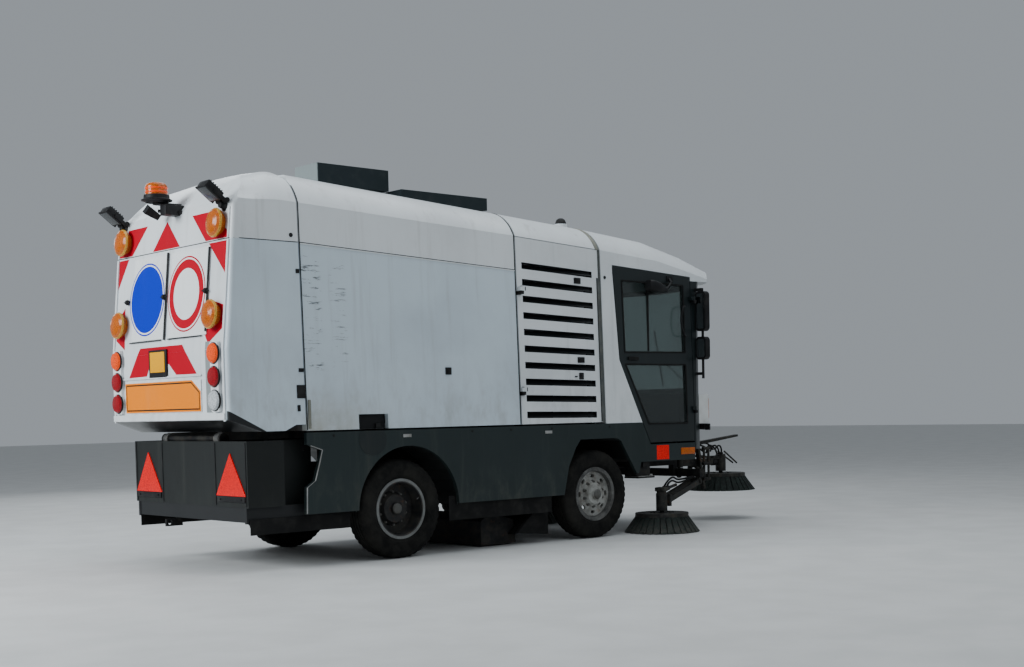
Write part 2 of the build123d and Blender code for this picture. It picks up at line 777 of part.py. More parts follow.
# Front arch and step cut, from the rear foot over the wheel to the sill
front_arch = (
    (1842, skirt_bottom_z),
    (1906, 695),
    (2001, 869),
    (2063, 942),
    (2541, 944),
    (2602, 916),
    (2726, 728),
    (2813, 597),
)
sill_bottom_z = 700
sill_top_z = 868
sill_end = 3668
# Wheel housings: thin strips that follow each arch and reach in behind the skirt, clear of the steered tyre
liner_inner_y = 640
front_liner_line = ((1858, 695), *front_arch[2:-1])
rear_arch_centre = (57, 421.8)
liner_growth = 1.016


def arch_liner(points, centre):
    """Outline of a thin strip along an arch, on the side away from the wheel."""
    grown = [tuple(c + liner_growth * (p - c) for p, c in zip(point, centre)) for point in points]
    return (*points, *reversed(grown))


arch_steps = [math.radians(angle) for angle in range(0, 181, 12)]
rear_arch_radius = rear_arch[1][1] - rear_arch_centre[1]
rear_liner_line = [
    (
        rear_arch_centre[0] + rear_arch_radius * math.cos(angle),
        rear_arch_centre[1] + rear_arch_radius * math.sin(angle),
    )
    for angle in arch_steps
]
for side, sign in sides:
    with BuildPart() as skirt:
        outer = sign * half_width
        with BuildSketch(Plane.XZ.offset(-outer)):
            with BuildLine():
                Polyline(*[(ahead(s), z) for s, z in torn_edge])
                Polyline(
                    (ahead(torn_edge[-1][0]), torn_edge[-1][1]),
                    (ahead(-960), skirt_top_z),
                    (ahead(2906), skirt_top_z),
                    (ahead(3018), sill_top_z),
                    (ahead(sill_end), sill_top_z),
                    (ahead(sill_end), sill_bottom_z),
                    (ahead(2880), sill_bottom_z),
                    (ahead(2842), 590),
                    (ahead(2813), 597),
                )
                Polyline(*[(ahead(s), z) for s, z in reversed(front_arch)])
                Line((ahead(1842), skirt_bottom_z), (ahead(585), skirt_bottom_z))
                ThreePointArc(*[(ahead(s), z) for s, z in rear_arch])
                Line((ahead(-471), skirt_bottom_z), (ahead(-978), skirt_bottom_z))
            make_face()
        extrude(amount=sign * skirt_thickness)
        low, high = sorted((sign * liner_inner_y, sign * (half_width - skirt_thickness + 5)))
        add(side_prism(arch_liner(rear_liner_line, rear_arch_centre), low, high))
        add(side_prism(arch_liner(front_liner_line, (wheelbase, tyre_radius)), low, high))
    save(f"skirt_{side}", skirt.part)

# Rear lower panel: a recessed back wall with side returns and a valance below
rear_wall_station = -1464
rear_wall_top = 1030
rear_wall_half = 930
rear_wall_low = 510
rear_wall_height = rear_wall_top - rear_wall_low
rear_wall_z = rear_wall_low + rear_wall_height / 2
return_end = -1130
recess_y = 790
recess_end = -800
valance_end = -500
valance_y = 885
valance_z = 450
bracket_end = rail_rear - seat_gap
with BuildPart() as rear_lower_panel:
    with Locations((ahead(rear_wall_station + 6), 0, rear_wall_z)):
        Box(12, 2 * rear_wall_half, rear_wall_height)
    for sign in (-1, 1):
        return_middle = 0.5 * (rear_wall_station + return_end)
        with Locations((ahead(return_middle), sign * (rear_wall_half - 15), rear_wall_z)):
            Box(return_end - rear_wall_station, 30, rear_wall_height)
        # Recess behind the return, closed by a step and a set-back wall
        with Locations((ahead(return_end - 8), sign * 0.5 * (rear_wall_half + recess_y), rear_wall_z)):
            Box(16, rear_wall_half - recess_y, rear_wall_height)
        with Locations((ahead(0.5 * (return_end - 16 + recess_end)), sign * (recess_y + 10), rear_wall_z)):
            Box(recess_end - return_end + 16, 20, rear_wall_height)
        with Locations((ahead(0.5 * (rear_wall_station + valance_end)), sign * valance_y, valance_z)):
            Box(valance_end - rear_wall_station, 30, 130)
        with Locations((ahead(0.5 * (rear_wall_station + bracket_end)), sign * rail_y, rail_bottom_z + 90)):
            Box(bracket_end - rear_wall_station, 60, 130)
    with Locations((ahead(-1444), 0, 455)):
        Box(30, 2 * rear_wall_half - 60, 120)
save("rear_lower_panel", rear_lower_panel.part)

# Cab: floor, back, front frame, roof, doors and glass
cab_start = cab_seam + 18
header_rear = (2567, 2588)
header_front = (3672, 2525)
door_bottom_z = 885
cab_floor_z = rail_top_z + seat_gap
deck_z = 1025
visor_z = 2490


def cab_plan(inset, low_z, high_z, start):
    """Prism of the cab's plan: straight sides, quick corners and a slowly curved front."""
    right = (
        (ahead(cab_side_end), inset - half_width),
        (ahead(3888 - 0.7 * inset), 0.7 * inset - 872),
        (ahead(4060 - 0.93 * inset), 0.35 * inset - 610),
    )
    left = [(x, -y) for x, y in reversed(right)]
    with BuildPart() as prism:
        with BuildSketch(Plane.XY.offset(low_z)):
            with BuildLine():
                ThreePointArc(*right)
                ThreePointArc(right[-1], (ahead(4185 - inset), 0), left[0])
                ThreePointArc(*left)
                Polyline(
                    left[-1],
                    (ahead(start), half_width - inset),
                    (ahead(start), inset - half_width),
                    right[0],
                )
            make_face()
        extrude(amount=high_z - low_z)
    return prism.part


def lean_prism(inset, low_z, high_z):
    """Long prism whose sides lean in like the body's."""
    with BuildPart() as prism:
        with BuildSketch(Plane.YZ.offset(ahead(cab_start - 50))):
            with BuildLine():
                Polyline(
                    (side_y(low_z) - inset, low_z),
                    (side_y(high_z) - inset, high_z),
                    (inset - side_y(high_z), high_z),
                    (inset - side_y(low_z), low_z),
                    close=True,
                )
            make_face()
        extrude(amount=2200)
    return prism.part


def cab_form(inset, low_z, high_z, start):
    """Cab below the roof: its plan, cut by the leaning sides."""
    with BuildPart() as form:
        add(cab_plan(inset, low_z, high_z, start))
        add(lean_prism(inset, low_z, high_z), mode=Mode.INTERSECT)
    return form.part


with BuildPart() as cab_walls:
    add(cab_form(0, 800, 2640, cab_start))
    add(cab_form(panel, 790, 2650, cab_start + panel), mode=Mode.SUBTRACT)

door_outline = (
    (2567, 2588),
    (3665, 2525.5),
    (3665, door_bottom_z),
    (3018, door_bottom_z),
    (2926, 1062),
    (2622, 1692),
)
upper_window = ((2684, 2452), (3560, 2440), (3560, 1772), (2694, 1766))
lower_window = ((2700, 1649), (3560, 1648), (3560, 1066), (2995, 1070))
column_low_z = skirt_top_z + seat_gap
roof_seat_z = 2510
column_outline = (
    (cab_start - 5, column_low_z),
    (2904, column_low_z),
    (2614, 1692),
    (2561, roof_seat_z - seat_gap),
    (cab_start - 5, roof_seat_z - seat_gap),
)
with BuildPart() as cab_back:
    add(cab_walls.part)
    add(side_prism(column_outline), mode=Mode.INTERSECT)
save("cab_back", cab_back.part)

windscreen_low = 1330
windscreen_high = 2440
pillar_end = 3800
door_hinge_station = 3668.5
door_hinge_heights = (1200, 2300)
door_hinge_x = ahead(door_hinge_station)
with BuildPart() as cab_front:
    add(cab_walls.part)
    add(
        side_prism(((3672, 800), (4400, 800), (4400, visor_z - seat_gap), (3672, visor_z - seat_gap))),
        mode=Mode.INTERSECT,
    )
    with Locations((ahead(pillar_end + 300), 0, 0.5 * (windscreen_low + windscreen_high))):
        Box(600, 3000, windscreen_high - windscreen_low, mode=Mode.SUBTRACT)
    for sign in (-1, 1):
        for hinge_z in door_hinge_heights:
            low_z = hinge_z - 35
            leaf_y = sign * (side_y(hinge_z) - 20)
            add(hinge_knuckle(door_hinge_x, sign * hinge_axis_y, low_z, hinge_z - 5, (3672, 3697), leaf_y))
            with Locations((door_hinge_x, sign * hinge_axis_y, hinge_z)):
                Cylinder(hinge_pin_radius, 64)
save("cab_front", cab_front.part)

glass_depth = 15
glass_thickness = 6
with BuildPart() as glass_skin:
    add(cab_form(glass_depth, 800, 2640, cab_start))
    add(cab_form(glass_depth + glass_thickness, 790, 2650, cab_start - 10), mode=Mode.SUBTRACT)
with BuildPart() as windscreen:
    add(glass_skin.part)
    pane_gap = seat_gap
    with Locations((ahead(pillar_end + pane_gap + 300), 0, 0.5 * (windscreen_low + windscreen_high))):
        Box(600, 3000, windscreen_high - windscreen_low - 2 * pane_gap, mode=Mode.INTERSECT)
save("windscreen", windscreen.part)


def outline_offset(points, distance):
    """Side outline moved inwards by a distance, as a prism."""
    with BuildPart() as prism:
        with BuildSketch(Plane.XZ.offset(-1300)):
            with BuildLine():
                Polyline(*[(ahead(s), z) for s, z in points], close=True)
            make_face()
            offset(amount=-distance, kind=Kind.INTERSECTION)
        extrude(amount=2600)
    return prism.part


for side, sign in sides:
    low, high = sorted((sign * 600, sign * 1300))
    with BuildPart() as door:
        add(cab_walls.part)
        add(side_prism(door_outline, low, high), mode=Mode.INTERSECT)
        add(side_prism(upper_window), mode=Mode.SUBTRACT)
        add(side_prism(lower_window), mode=Mode.SUBTRACT)
        for hinge_z in door_hinge_heights:
            low_z = hinge_z - 5 + seat_gap
            leaf_y = sign * (side_y(hinge_z) - 20)
            add(hinge_knuckle(door_hinge_x, sign * hinge_axis_y, low_z, hinge_z + 32, (3635, 3665), leaf_y))
            with Locations((door_hinge_x, sign * hinge_axis_y, hinge_z)):
                Cylinder(hinge_pin_radius + running_gap, 80, mode=Mode.SUBTRACT)
    save(f"door_{side}", door.part)
    with BuildPart() as panes:
        add(outline_offset(upper_window, pane_gap))
        add(outline_offset(lower_window, pane_gap))
    with BuildPart() as door_glass:
        add(glass_skin.part)
        add(side_prism(door_outline, low, high), mode=Mode.INTERSECT)
        add(panes.part, mode=Mode.INTERSECT)
    save(f"door_glass_{side}", door_glass.part)

roof_wall = 50
with BuildPart() as roof_room:
    add(body_length(cab_start + roof_wall, 4250, roof_wall, 2000))
    add(cab_plan(panel, 2300, 3300, cab_start + roof_wall), mode=Mode.INTERSECT)
with BuildPart() as cab_roof:
    add(body_length(cab_start, 4295, 0, 2000))
    add(
        side_prism(
            (
                (cab_start - 5, roof_seat_z),
                (2560, roof_seat_z),
                (2560, 2595),
                (header_front[0] + 4, 2532),
                (header_front[0] + 4, visor_z),
                (4400, visor_z),
                (4400, 3300),
                (cab_start - 5, 3300),
            )
        ),
        mode=Mode.INTERSECT,
    )
    add(cab_plan(-95, 2300, 3300, cab_start - 10), mode=Mode.INTERSECT)
    add(roof_room.part, mode=Mode.SUBTRACT)
save("cab_roof", cab_roof.part)

with BuildPart() as cab_floor:
    add(
        side_prism(
            (
                (cab_start + panel + seat_gap, deck_z),
                (2840, deck_z),
                (2840, cab_floor_z),
                (4200, cab_floor_z),
                (4200, cab_floor_z + 60),
                (2880, cab_floor_z + 60),
                (2880, deck_z + 50),
                (cab_start + panel + seat_gap, deck_z + 50),
            )
        )
    )
    add(cab_form(panel + seat_gap, 700, 1500, cab_start), mode=Mode.INTERSECT)
save("cab_floor", cab_floor.part)

seat_top_z = deck_z + 50
seat_station = 2690
with BuildPart() as seats:
    for sign in (-1, 1):
        seat_y = sign * 430
        with Locations((ahead(seat_station), seat_y, seat_top_z + seat_gap + 90)):
            Box(330, 330, 180)
        with BuildSketch(Plane.XY.offset(seat_top_z + 175)):
            with Locations((ahead(seat_station + 40), seat_y)):
                RectangleRounded(480, 500, 60)
        extrude(amount=125)
        with BuildSketch(Plane.XZ.offset(-seat_y - 240)):
            with BuildLine():
                Polyline(
                    (ahead(seat_station - 195), seat_top_z + 280),
                    (ahead(seat_station - 75), seat_top_z + 280),
                    (ahead(seat_station - 115), seat_top_z + 900),
                    (ahead(seat_station - 205), seat_top_z + 900),
                    close=True,
                )
            make_face()
        extrude(amount=480)
save("seats", seats.part)

floor_top_z = cab_floor_z + 60
wheel_hub = (3560, 1560)
with BuildPart() as dashboard:
    with BuildSketch(Plane.XZ.offset(-820)):
        with BuildLine():
            Polyline(
                (ahead(3640), floor_top_z + seat_gap),
                (ahead(3950), floor_top_z + seat_gap),
                (ahead(3950), 1310),
                (ahead(3780), 1420),
                (ahead(3640), 1360),
                close=True,
            )
        make_face()
    extrude(amount=1640)
    add(cab_form(panel + 6, 700, 1500, cab_start), mode=Mode.INTERSECT)
    hub_centre = (ahead(wheel_hub[0]), 430, wheel_hub[1])
    column_plane = Plane(origin=hub_centre, x_dir=(0, 1, 0), z_dir=(-0.5, 0, 0.866))
    with BuildSketch(column_plane):
        Circle(28)
    extrude(amount=-340)
    with BuildSketch(column_plane):
        Circle(210)
        Circle(184, mode=Mode.SUBTRACT)
        Rectangle(380, 40)
        Circle(50)
    extrude(amount=26)
save("dashboard", dashboard.part)

# Front end: bumper, headlamp pods, mirrors and steps
bumper_z = 1020
bumper_height = 62
with BuildPart() as front_bumper:
    add(cab_plan(-112, bumper_z - 31, bumper_z + 31, cab_start))
    add(cab_plan(-62, bumper_z - 40, bumper_z + 40, cab_start - 10), mode=Mode.SUBTRACT)
    with Locations((ahead(3860 + 300), 0, bumper_z)):
        Box(600, 2400, 100, mode=Mode.INTERSECT)
    for sign in (-1, 1):
        with Locations((ahead(4140), sign * 520, bumper_z)):
            Box(220, 60, 50)
    add(cab_form(-seat_gap, 900, 1200, cab_start), mode=Mode.SUBTRACT)
save("front_bumper", front_bumper.part)

pod_low = 1056
pod_high = 1352
with BuildPart() as headlamps:
    add(cab_plan(-96, pod_low, pod_high, cab_start))
    add(cab_form(-seat_gap, pod_low - 10, pod_high + 10, cab_start - 10), mode=Mode.SUBTRACT)
    with Locations((ahead(4000), 0.5 * (620 + 930), 1200), (ahead(4000), -0.5 * (620 + 930), 1200)):
        Box(420, 310, 400, mode=Mode.INTERSECT)
save("headlamps", headlamps.part)

mirror_station = 3748
mirror_y = 1055
mirror_width = 130
mirror_depth = 66
# Height of the middle and full height of the main and the kerb mirror
mirror_heads = ((2185, 400), (1815, 230))
with BuildPart() as mirrors:
    for sign in (-1, 1):
        for head_z, head_height in mirror_heads:
            with BuildSketch(Plane.YZ.offset(ahead(mirror_station - mirror_depth / 2))):
                with Locations((sign * mirror_y, head_z)):
                    RectangleRounded(mirror_width, head_height, 42)
            extrude(amount=mirror_depth)
        with Locations((ahead(mirror_station), sign * mirror_y, 1960)):
            Cylinder(13, 900)
        for arm_z in (2404, 1560):
            inner = side_y(arm_z) - 20
            with Locations((ahead(mirror_station), sign * 0.5 * (inner + mirror_y), arm_z)):
                Box(36, mirror_y - inner, 28)
    add(cab_form(-seat_gap, 1300, 2640, cab_start - 20), mode=Mode.SUBTRACT)
save("mirrors", mirrors.part)

with BuildPart() as cab_steps:
    for sign in (-1, 1):
        with Locations((ahead(2945), sign * 880, 620)):
            Box(190, 160, 159)
        with Locations((ahead(2955), sign * 900, 548)):
            Box(230, 190, 16)
        with Locations((ahead(2950), sign * 720, 670)):
            Box(60, 2 * (720 - rail_y - 0.5 * rail_width - seat_gap), 50)
save("cab_steps", cab_steps.part)

with BuildPart() as cab_seal:
    add(body_length(bay_front + 6, cab_start - seat_gap, 10, skirt_top_z + 10))
    add(body_length(cab_seam - 25, cab_seam + 25, 40, skirt_top_z - 30), mode=Mode.SUBTRACT)
save("cab_seal", cab_seal.part)

# Lamps on the tailgate cap: beacon shelf, two small boxes below it and a work lamp on each shoulder
beacon_station = -1665
beacon_base_z = 2997
work_lamp_y = 830
with BuildPart() as roof_lamps:
    with Locations((ahead(-1560), 0, beacon_base_z - 49)):
        Box(250, 90, 16)
    with Locations((ahead(beacon_station), 0, beacon_base_z - 21)):
        Cylinder(96, 42)
    for sign in (-1, 1):
        with Locations((ahead(-1575), sign * 84, 2890)):
            Box(170, 96, 84)
        with Locations(Location((ahead(-1545), sign * work_lamp_y, 2890), (0, -50, 0))):
            Cylinder(20, 90)
        with Locations(Location((ahead(-1617), sign * work_lamp_y, 2946), (0, -20, 0))):
            Box(168, 124, 62)
    add(tailgate_solid(-seat_gap, tailgate_front), mode=Mode.SUBTRACT)
save("roof_lamps", roof_lamps.part)

with BuildPart() as beacon:
    with Locations((ahead(beacon_station), 0, beacon_base_z + seat_gap + 58)):
        Cylinder(88, 116)
    fillet(beacon.edges().filter_by(GeomType.CIRCLE).sort_by(Axis.Z)[-1], 38)
save("beacon", beacon.part)

# Hopper roof outlets
with BuildPart() as roof_boxes:
    with Locations((ahead(-50), -280, 3250)):
        Box(740, 340, 180)
    with Locations((ahead(815), 0, 3105)):
        Box(970, 1240, 110)
    add(body_length(hopper_rear, hopper_front, -seat_gap, 2000), mode=Mode.SUBTRACT)
save("roof_boxes", roof_boxes.part)

# Suction mouth between the axles
mouth_station = 1230
with BuildPart() as suction_mouth:
    with BuildSketch(Plane.XZ.offset(-760)):
        with BuildLine():
            Polyline(
                (ahead(mouth_station - 210), 14),
                (ahead(mouth_station + 210), 14),
                (ahead(mouth_station + 180), 230),
                (ahead(mouth_station - 120), 300),
                (ahead(mouth_station - 210), 230),
                close=True,
            )
        make_face()
    extrude(amount=1520)
    with BuildSketch(Plane.XZ.offset(-730)):
        with BuildLine():
            Polyline(
                (ahead(mouth_station - 180), 0),
                (ahead(mouth_station + 180), 0),
                (ahead(mouth_station + 150), 205),
                (ahead(mouth_station - 110), 268),
                (ahead(mouth_station - 180), 200),
                close=True,
            )
        make_face()
    extrude(amount=1460, mode=Mode.SUBTRACT)
    for sign in (-1, 1):
        with Locations((ahead(0.5 * (mouth_station + 150 + mouth_pin_station)), sign * 335, 200)):
            Box(mouth_pin_station - mouth_station - 150, 40, 50)
        with BuildSketch(Plane.XZ.offset(-sign * 335 - 20)):
            with Locations((ahead(mouth_pin_station), 0.5 * (mouth_pin_z + 175))):
                Rectangle(60, mouth_pin_z - 175)
            with Locations((ahead(mouth_pin_station), mouth_pin_z)):
                Circle(30)
        extrude(amount=40)
    with BuildSketch(Plane.XZ.offset(-400)):
        with Locations((ahead(mouth_pin_station), mouth_pin_z)):
            Circle(lift_pin_radius + running_gap)
    extrude(amount=800, mode=Mode.SUBTRACT)
save("suction_mouth", suction_mouth.part)


# Brush gear: each side brush trails from a slewing bracket on the carrier, on a pair of arms
brush_station = 3160
brush_y = 1000
bracket_top_z = carrier_z - 46
lift_z = 455
lift_offset = 62
motor_radius = 56
motor_height = 170
motor_gap = 20
arm_spread = 48
shaft_radius = 22
tip_drop = brush_plate_z - brush_ground_gap


def build_brush():
    """Round plate with its shaft above and a ring of splayed tufts below, plate top at z = 0."""
    with BuildPart() as tuft:
        with BuildSketch(Plane.XY.offset(-20)):
            with Locations((brush_plate_radius - 50, 0)):
                Rectangle(84, 38)
        with BuildSketch(Plane.XY.offset(-tip_drop)):
            with Locations((brush_tip_radius - 42, 0)):
                Rectangle(84, 58)
        loft()
    with BuildPart() as brush:
        with Locations((0, 0, -17)):
            Cylinder(brush_plate_radius, 34)
        with Locations((0, 0, 35)):
            Cylinder(shaft_radius, 70)
        with PolarLocations(0, brush_tines):
            add(tuft.part)
    return brush.part


brush_form = build_brush()
for side, sign in sides:
    pivot = Vector(ahead(carrier_station), sign * slew_y, 0)
    hub = Vector(ahead(brush_station), sign * brush_y, 0)
    heading = (hub - pivot).normalized()
    across = Vector(-heading.Y, heading.X, 0)
    lift_axis = pivot + heading * lift_offset + Vector(0, 0, lift_z)
    with BuildPart() as bracket:
        with Locations((pivot.X, pivot.Y, bracket_top_z - 35)):
            Cylinder(44, 70)
        with Locations((pivot.X, pivot.Y, carrier_z)):
            Cylinder(slew_pin_radius, 130)
        with Locations((pivot.X, pivot.Y, carrier_z + 53)):
            Cylinder(26, 14)
        with BuildSketch(Plane(origin=pivot + Vector(0, 0, lift_z), x_dir=across, z_dir=heading)):
            Rectangle(56, 62)
        extrude(amount=lift_offset)
        with BuildSketch(Plane(origin=lift_axis - across * 70, x_dir=heading, z_dir=across)):
            Circle(lift_pin_radius)
        extrude(amount=140)
    save(f"brush_bracket_{side}", bracket.part)
    head = hub + Vector(0, 0, brush_plate_z + 120)
    with BuildPart() as arm:
        for shift in (-arm_spread, arm_spread):
            start = lift_axis + across * shift
            run = head - heading * 70 + across * shift - start
            with BuildSketch(Plane(origin=start, x_dir=across, z_dir=run.normalized())):
                Rectangle(26, 54)
            extrude(amount=run.length)
            with BuildSketch(Plane(origin=start - across * 13, x_dir=heading, z_dir=across)):
                Circle(34)
            extrude(amount=26)
        with Locations((hub.X, hub.Y, brush_plate_z + motor_gap + motor_height / 2)):
            Cylinder(motor_radius, motor_height)
        with BuildSketch(Plane(origin=head - heading * 75, x_dir=across, z_dir=heading)):
            Rectangle(150, 120)
        extrude(amount=28)
        with BuildSketch(Plane(origin=lift_axis - across * 90, x_dir=heading, z_dir=across)):
            Circle(lift_pin_radius + running_gap)
        extrude(amount=180, mode=Mode.SUBTRACT)
        with Locations((hub.X, hub.Y, brush_plate_z + 20)):
            Cylinder(shaft_radius + running_gap, 120, mode=Mode.SUBTRACT)
    save(f"brush_arm_{side}", arm.part)
    save(f"side_brush_{side}", brush_form.moved(Location((hub.X, hub.Y, brush_plate_z))))

# Front brush: hung level from a tilt pin at the end of the boom, with an A-shaped head and a top link
front_brush_station = 4790
front_plate_z = 500
tilt_z = 620
tilt_hub = (4640, 4700)
tilt_hub_radius = 36
boom_low_z = carrier_z + 46
boom_end = 4630
head_station = 4370
# Distance across from the boom and height
head_outline = ((-135, 350), (-52, 830), (52, 830), (135, 350), (92, 350), (18, 740), (-18, 740), (-92, 350))
top_link_end = 5060
with BuildPart() as front_boom:
    with Locations((ahead(boom_station), boom_y, carrier_z)):
        Cylinder(slew_pin_radius, 130)
    with Locations((ahead(boom_station), boom_y, carrier_z - 53)):
        Cylinder(26, 14)
    with Locations((ahead(boom_station), boom_y, boom_low_z + 45)):
        Cylinder(44, 90)
    with Locations((ahead(0.5 * (boom_station + boom_end)), boom_y, boom_low_z + 45)):
        Box(boom_end - boom_station, 70, 70)
    with BuildSketch(Plane.YZ.offset(ahead(head_station - 15))):
        with BuildLine():
            Polyline(*[(boom_y + across, z) for across, z in head_outline], close=True)
        make_face()
        with Locations((boom_y, tilt_z)):
            Rectangle(150, 90)
    extrude(amount=30)
    with BuildSketch(Plane.XZ.offset(-boom_y - 26)):
        with BuildLine():
            Polyline(
                (ahead(head_station), 812),
                (ahead(top_link_end), 890),
                (ahead(top_link_end), 912),
                (ahead(head_station), 846),
                close=True,
            )
        make_face()
    extrude(amount=52)
    with BuildSketch(Plane.YZ.offset(ahead(boom_end - 20))):
        with Locations((boom_y, tilt_z)):
            Circle(slew_pin_radius)
    extrude(amount=tilt_hub[1] + 16 - boom_end + 20)
    with BuildSketch(Plane.YZ.offset(ahead(tilt_hub[1] + 4))):
        with Locations((boom_y, tilt_z)):
            Circle(24)
    extrude(amount=12)
save("front_boom", front_boom.part)

motor_top_z = front_plate_z + motor_gap + motor_height
with BuildPart() as front_arm:
    with BuildSketch(Plane.YZ.offset(ahead(tilt_hub[0]))):
        with Locations((boom_y, tilt_z)):
            Circle(tilt_hub_radius)
    extrude(amount=tilt_hub[1] - tilt_hub[0])
    with Locations((ahead(0.5 * (tilt_hub[0] + front_brush_station)), boom_y, motor_top_z - 20)):
        Box(front_brush_station - tilt_hub[0], 60, 40)
    with Locations((ahead(front_brush_station), boom_y, motor_top_z - motor_height / 2)):
        Cylinder(motor_radius, motor_height)
    with BuildSketch(Plane.YZ.offset(ahead(tilt_hub[0] - 10))):
        with Locations((boom_y, tilt_z)):
            Circle(slew_pin_radius + running_gap)
    extrude(amount=tilt_hub[1] - tilt_hub[0] + 20, mode=Mode.SUBTRACT)
    with Locations((ahead(front_brush_station), boom_y, front_plate_z + 20)):
        Cylinder(shaft_radius + running_gap, 120, mode=Mode.SUBTRACT)
save("front_arm", front_arm.part)
save("front_brush", brush_form.moved(Location((ahead(front_brush_station), boom_y, front_plate_z))))
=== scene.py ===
"""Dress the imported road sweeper: finishes, markings, lamps, tread, bristles, fittings and the stage."""
import math
import random

import bmesh
import bpy
from bpy.props import FloatProperty, FloatVectorProperty, IntProperty, PointerProperty
from bpy.types import Operator, Panel, PropertyGroup
from mathutils import Matrix, Vector
from mathutils.bvhtree import BVHTree


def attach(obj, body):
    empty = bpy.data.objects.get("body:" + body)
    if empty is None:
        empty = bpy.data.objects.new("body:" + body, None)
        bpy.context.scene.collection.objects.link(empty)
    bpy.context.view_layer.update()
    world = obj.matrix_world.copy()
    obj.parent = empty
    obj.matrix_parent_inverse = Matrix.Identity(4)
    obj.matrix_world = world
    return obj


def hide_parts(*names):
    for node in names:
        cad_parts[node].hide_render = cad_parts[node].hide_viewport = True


bl_info = {
    "name": "Road Sweeper Dressing",
    "version": (1, 0, 0),
    "blender": (4, 5, 0),
    "location": "View3D > Sidebar > Sweeper",
    "description": "Adds finishes, markings, lamps and fittings to a packed road sweeper",
    "category": "Object",
}

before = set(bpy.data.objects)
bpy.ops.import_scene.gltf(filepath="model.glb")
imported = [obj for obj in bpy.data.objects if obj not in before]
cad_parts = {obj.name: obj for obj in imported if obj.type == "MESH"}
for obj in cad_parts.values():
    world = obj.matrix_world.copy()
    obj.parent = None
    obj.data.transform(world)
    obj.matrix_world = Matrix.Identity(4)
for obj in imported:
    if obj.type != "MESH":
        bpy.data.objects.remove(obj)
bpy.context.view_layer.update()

# Lengths are in metres. A station is a distance forward of the rear axle.
UP = Vector((0, 0, 1))
SIDES = (("right", -1), ("left", 1))
REAR_AXLE = -1.727
FRONT_AXLE = REAR_AXLE + 2.3
TYRE_RADIUS = 0.419
WHEEL_Y = 0.838
TAILGATE_SEAM = -0.957
ENGINE_SEAM = 1.328
CAB_SEAM = 2.388
SKIN_GAP = 0.0003
SHARP_ANGLE = math.radians(35)
FLOOR_HALF = 60.0
PANEL_FOOT = 1.105
DOOR_TOP = 2.70
OVER_ROOF = 9.0
FACE_X = REAR_AXLE - 1.633
LEAN_START = 1.75
LEAN_SLOPE = 0.103 / 1.1
UPRIGHT = Vector((-1.0, 0.0, 0.0))
SLOPED = Vector((-1.0, 0.0, LEAN_SLOPE)).normalized()
SIGN_Z = 2.205
LAMP_Y = 0.815
BEACON_BASE = 2.997
WORK_LAMP_Y = 0.83
TRIANGLE_Y = 0.68
SIDE_BRUSH = (3.16, 1.0, 0.38)
BRUSH_PIVOT = (4.01, 0.72, 0.455)
FRONT_BRUSH = 4.79
BRUSH_BOOM_Y = -0.38
# Station, then heights of the crease, the shoulder and the crown of the body's section
BODY_STATIONS = (
    (-1.700, 2.935, 3.195, 3.230),
    (-0.957, 2.902, 3.162, 3.197),
    (1.328, 2.790, 3.018, 3.053),
    (2.388, 2.728, 2.950, 2.986),
    (3.200, 2.665, 2.882, 2.922),
)
SHOULDER_Y = 0.68
# Station, height of the first louvre's middle and the spacing below it, at both ends of the louvres
LOUVRE_REAR = (1.402, 2.529, 0.1494)
LOUVRE_FRONT = (2.282, 2.487, 0.1461)
# The photograph's size and camera: pixels, degrees and the place of the lens
PHOTO_WIDTH, PHOTO_HEIGHT = 1024, 667
FOCAL_PX, CENTRE_PX = 1420.34, (526.425, 484.847)
SENSOR_WIDTH = 36.0
YAW, PITCH, ROLL = (math.radians(angle) for angle in (41.873, -2.977, -1.214))
CAMERA_PLACE = (-7.188 + REAR_AXLE, -10.546, 1.220)
# Name, place, target, size and power
LIGHTS = (
    ("overhead sky", (0.5, -1.0, 9.0), (0, 0, 1.0), 9.0, 520),
    ("key from the right", (-1.0, -11.0, 7.5), (0, 0, 1.5), 6.0, 180),
    ("rear key", (-12.0, 1.5, 5.5), (-3.0, 0, 1.8), 5.0, 1250),
    ("left fill", (1.0, 11.0, 6.0), (0, 0, 1.5), 6.0, 220),
)
LIGHT_COLOUR = (0.90, 0.96, 1.0)
SKY_COLOUR, SKY_STRENGTH = (0.84, 0.92, 1.0, 1.0), 0.36
# Across the face and height of each red marking's corners on the tailgate
FACE_EDGE = 0.902
RED_MARKS = (
    ((0.082, 2.822), (0.306, 2.598), (-0.150, 2.598)),
    ((0.756, 2.822), (0.419, 2.822), (0.672, 2.598), (FACE_EDGE, 2.598), (FACE_EDGE, 2.64)),
    ((-0.333, 2.822), (-0.66, 2.822), (-FACE_EDGE, 2.64), (-FACE_EDGE, 2.598), (-0.566, 2.598)),
    ((FACE_EDGE, 2.574), (0.729, 2.574), (FACE_EDGE, 2.330)),
    ((-0.620, 2.574), (-FACE_EDGE, 2.574), (-FACE_EDGE, 2.312)),
    ((0.754, 2.160), (0.728, 1.805), (0.893, 1.892), (FACE_EDGE, 2.05)),
    ((-0.660, 2.14), (-FACE_EDGE, 2.08), (-FACE_EDGE, 1.91), (-0.68, 1.795), (-0.61, 1.88)),
    ((0.445, 1.806), (-0.270, 1.806), (-0.324, 1.7502), (0.493, 1.7502)),
)
LOWER_MARKS = (
    ((0.493, 1.7498), (0.263, 1.7498), (0.263, 1.671), (0.335, 1.571), (0.652, 1.566)),
    ((0.263, 1.7498), (-0.051, 1.7498), (-0.051, 1.659), (0.263, 1.671)),
    ((-0.051, 1.7498), (-0.324, 1.7498), (-0.499, 1.567), (-0.167, 1.569), (-0.051, 1.659)),
)
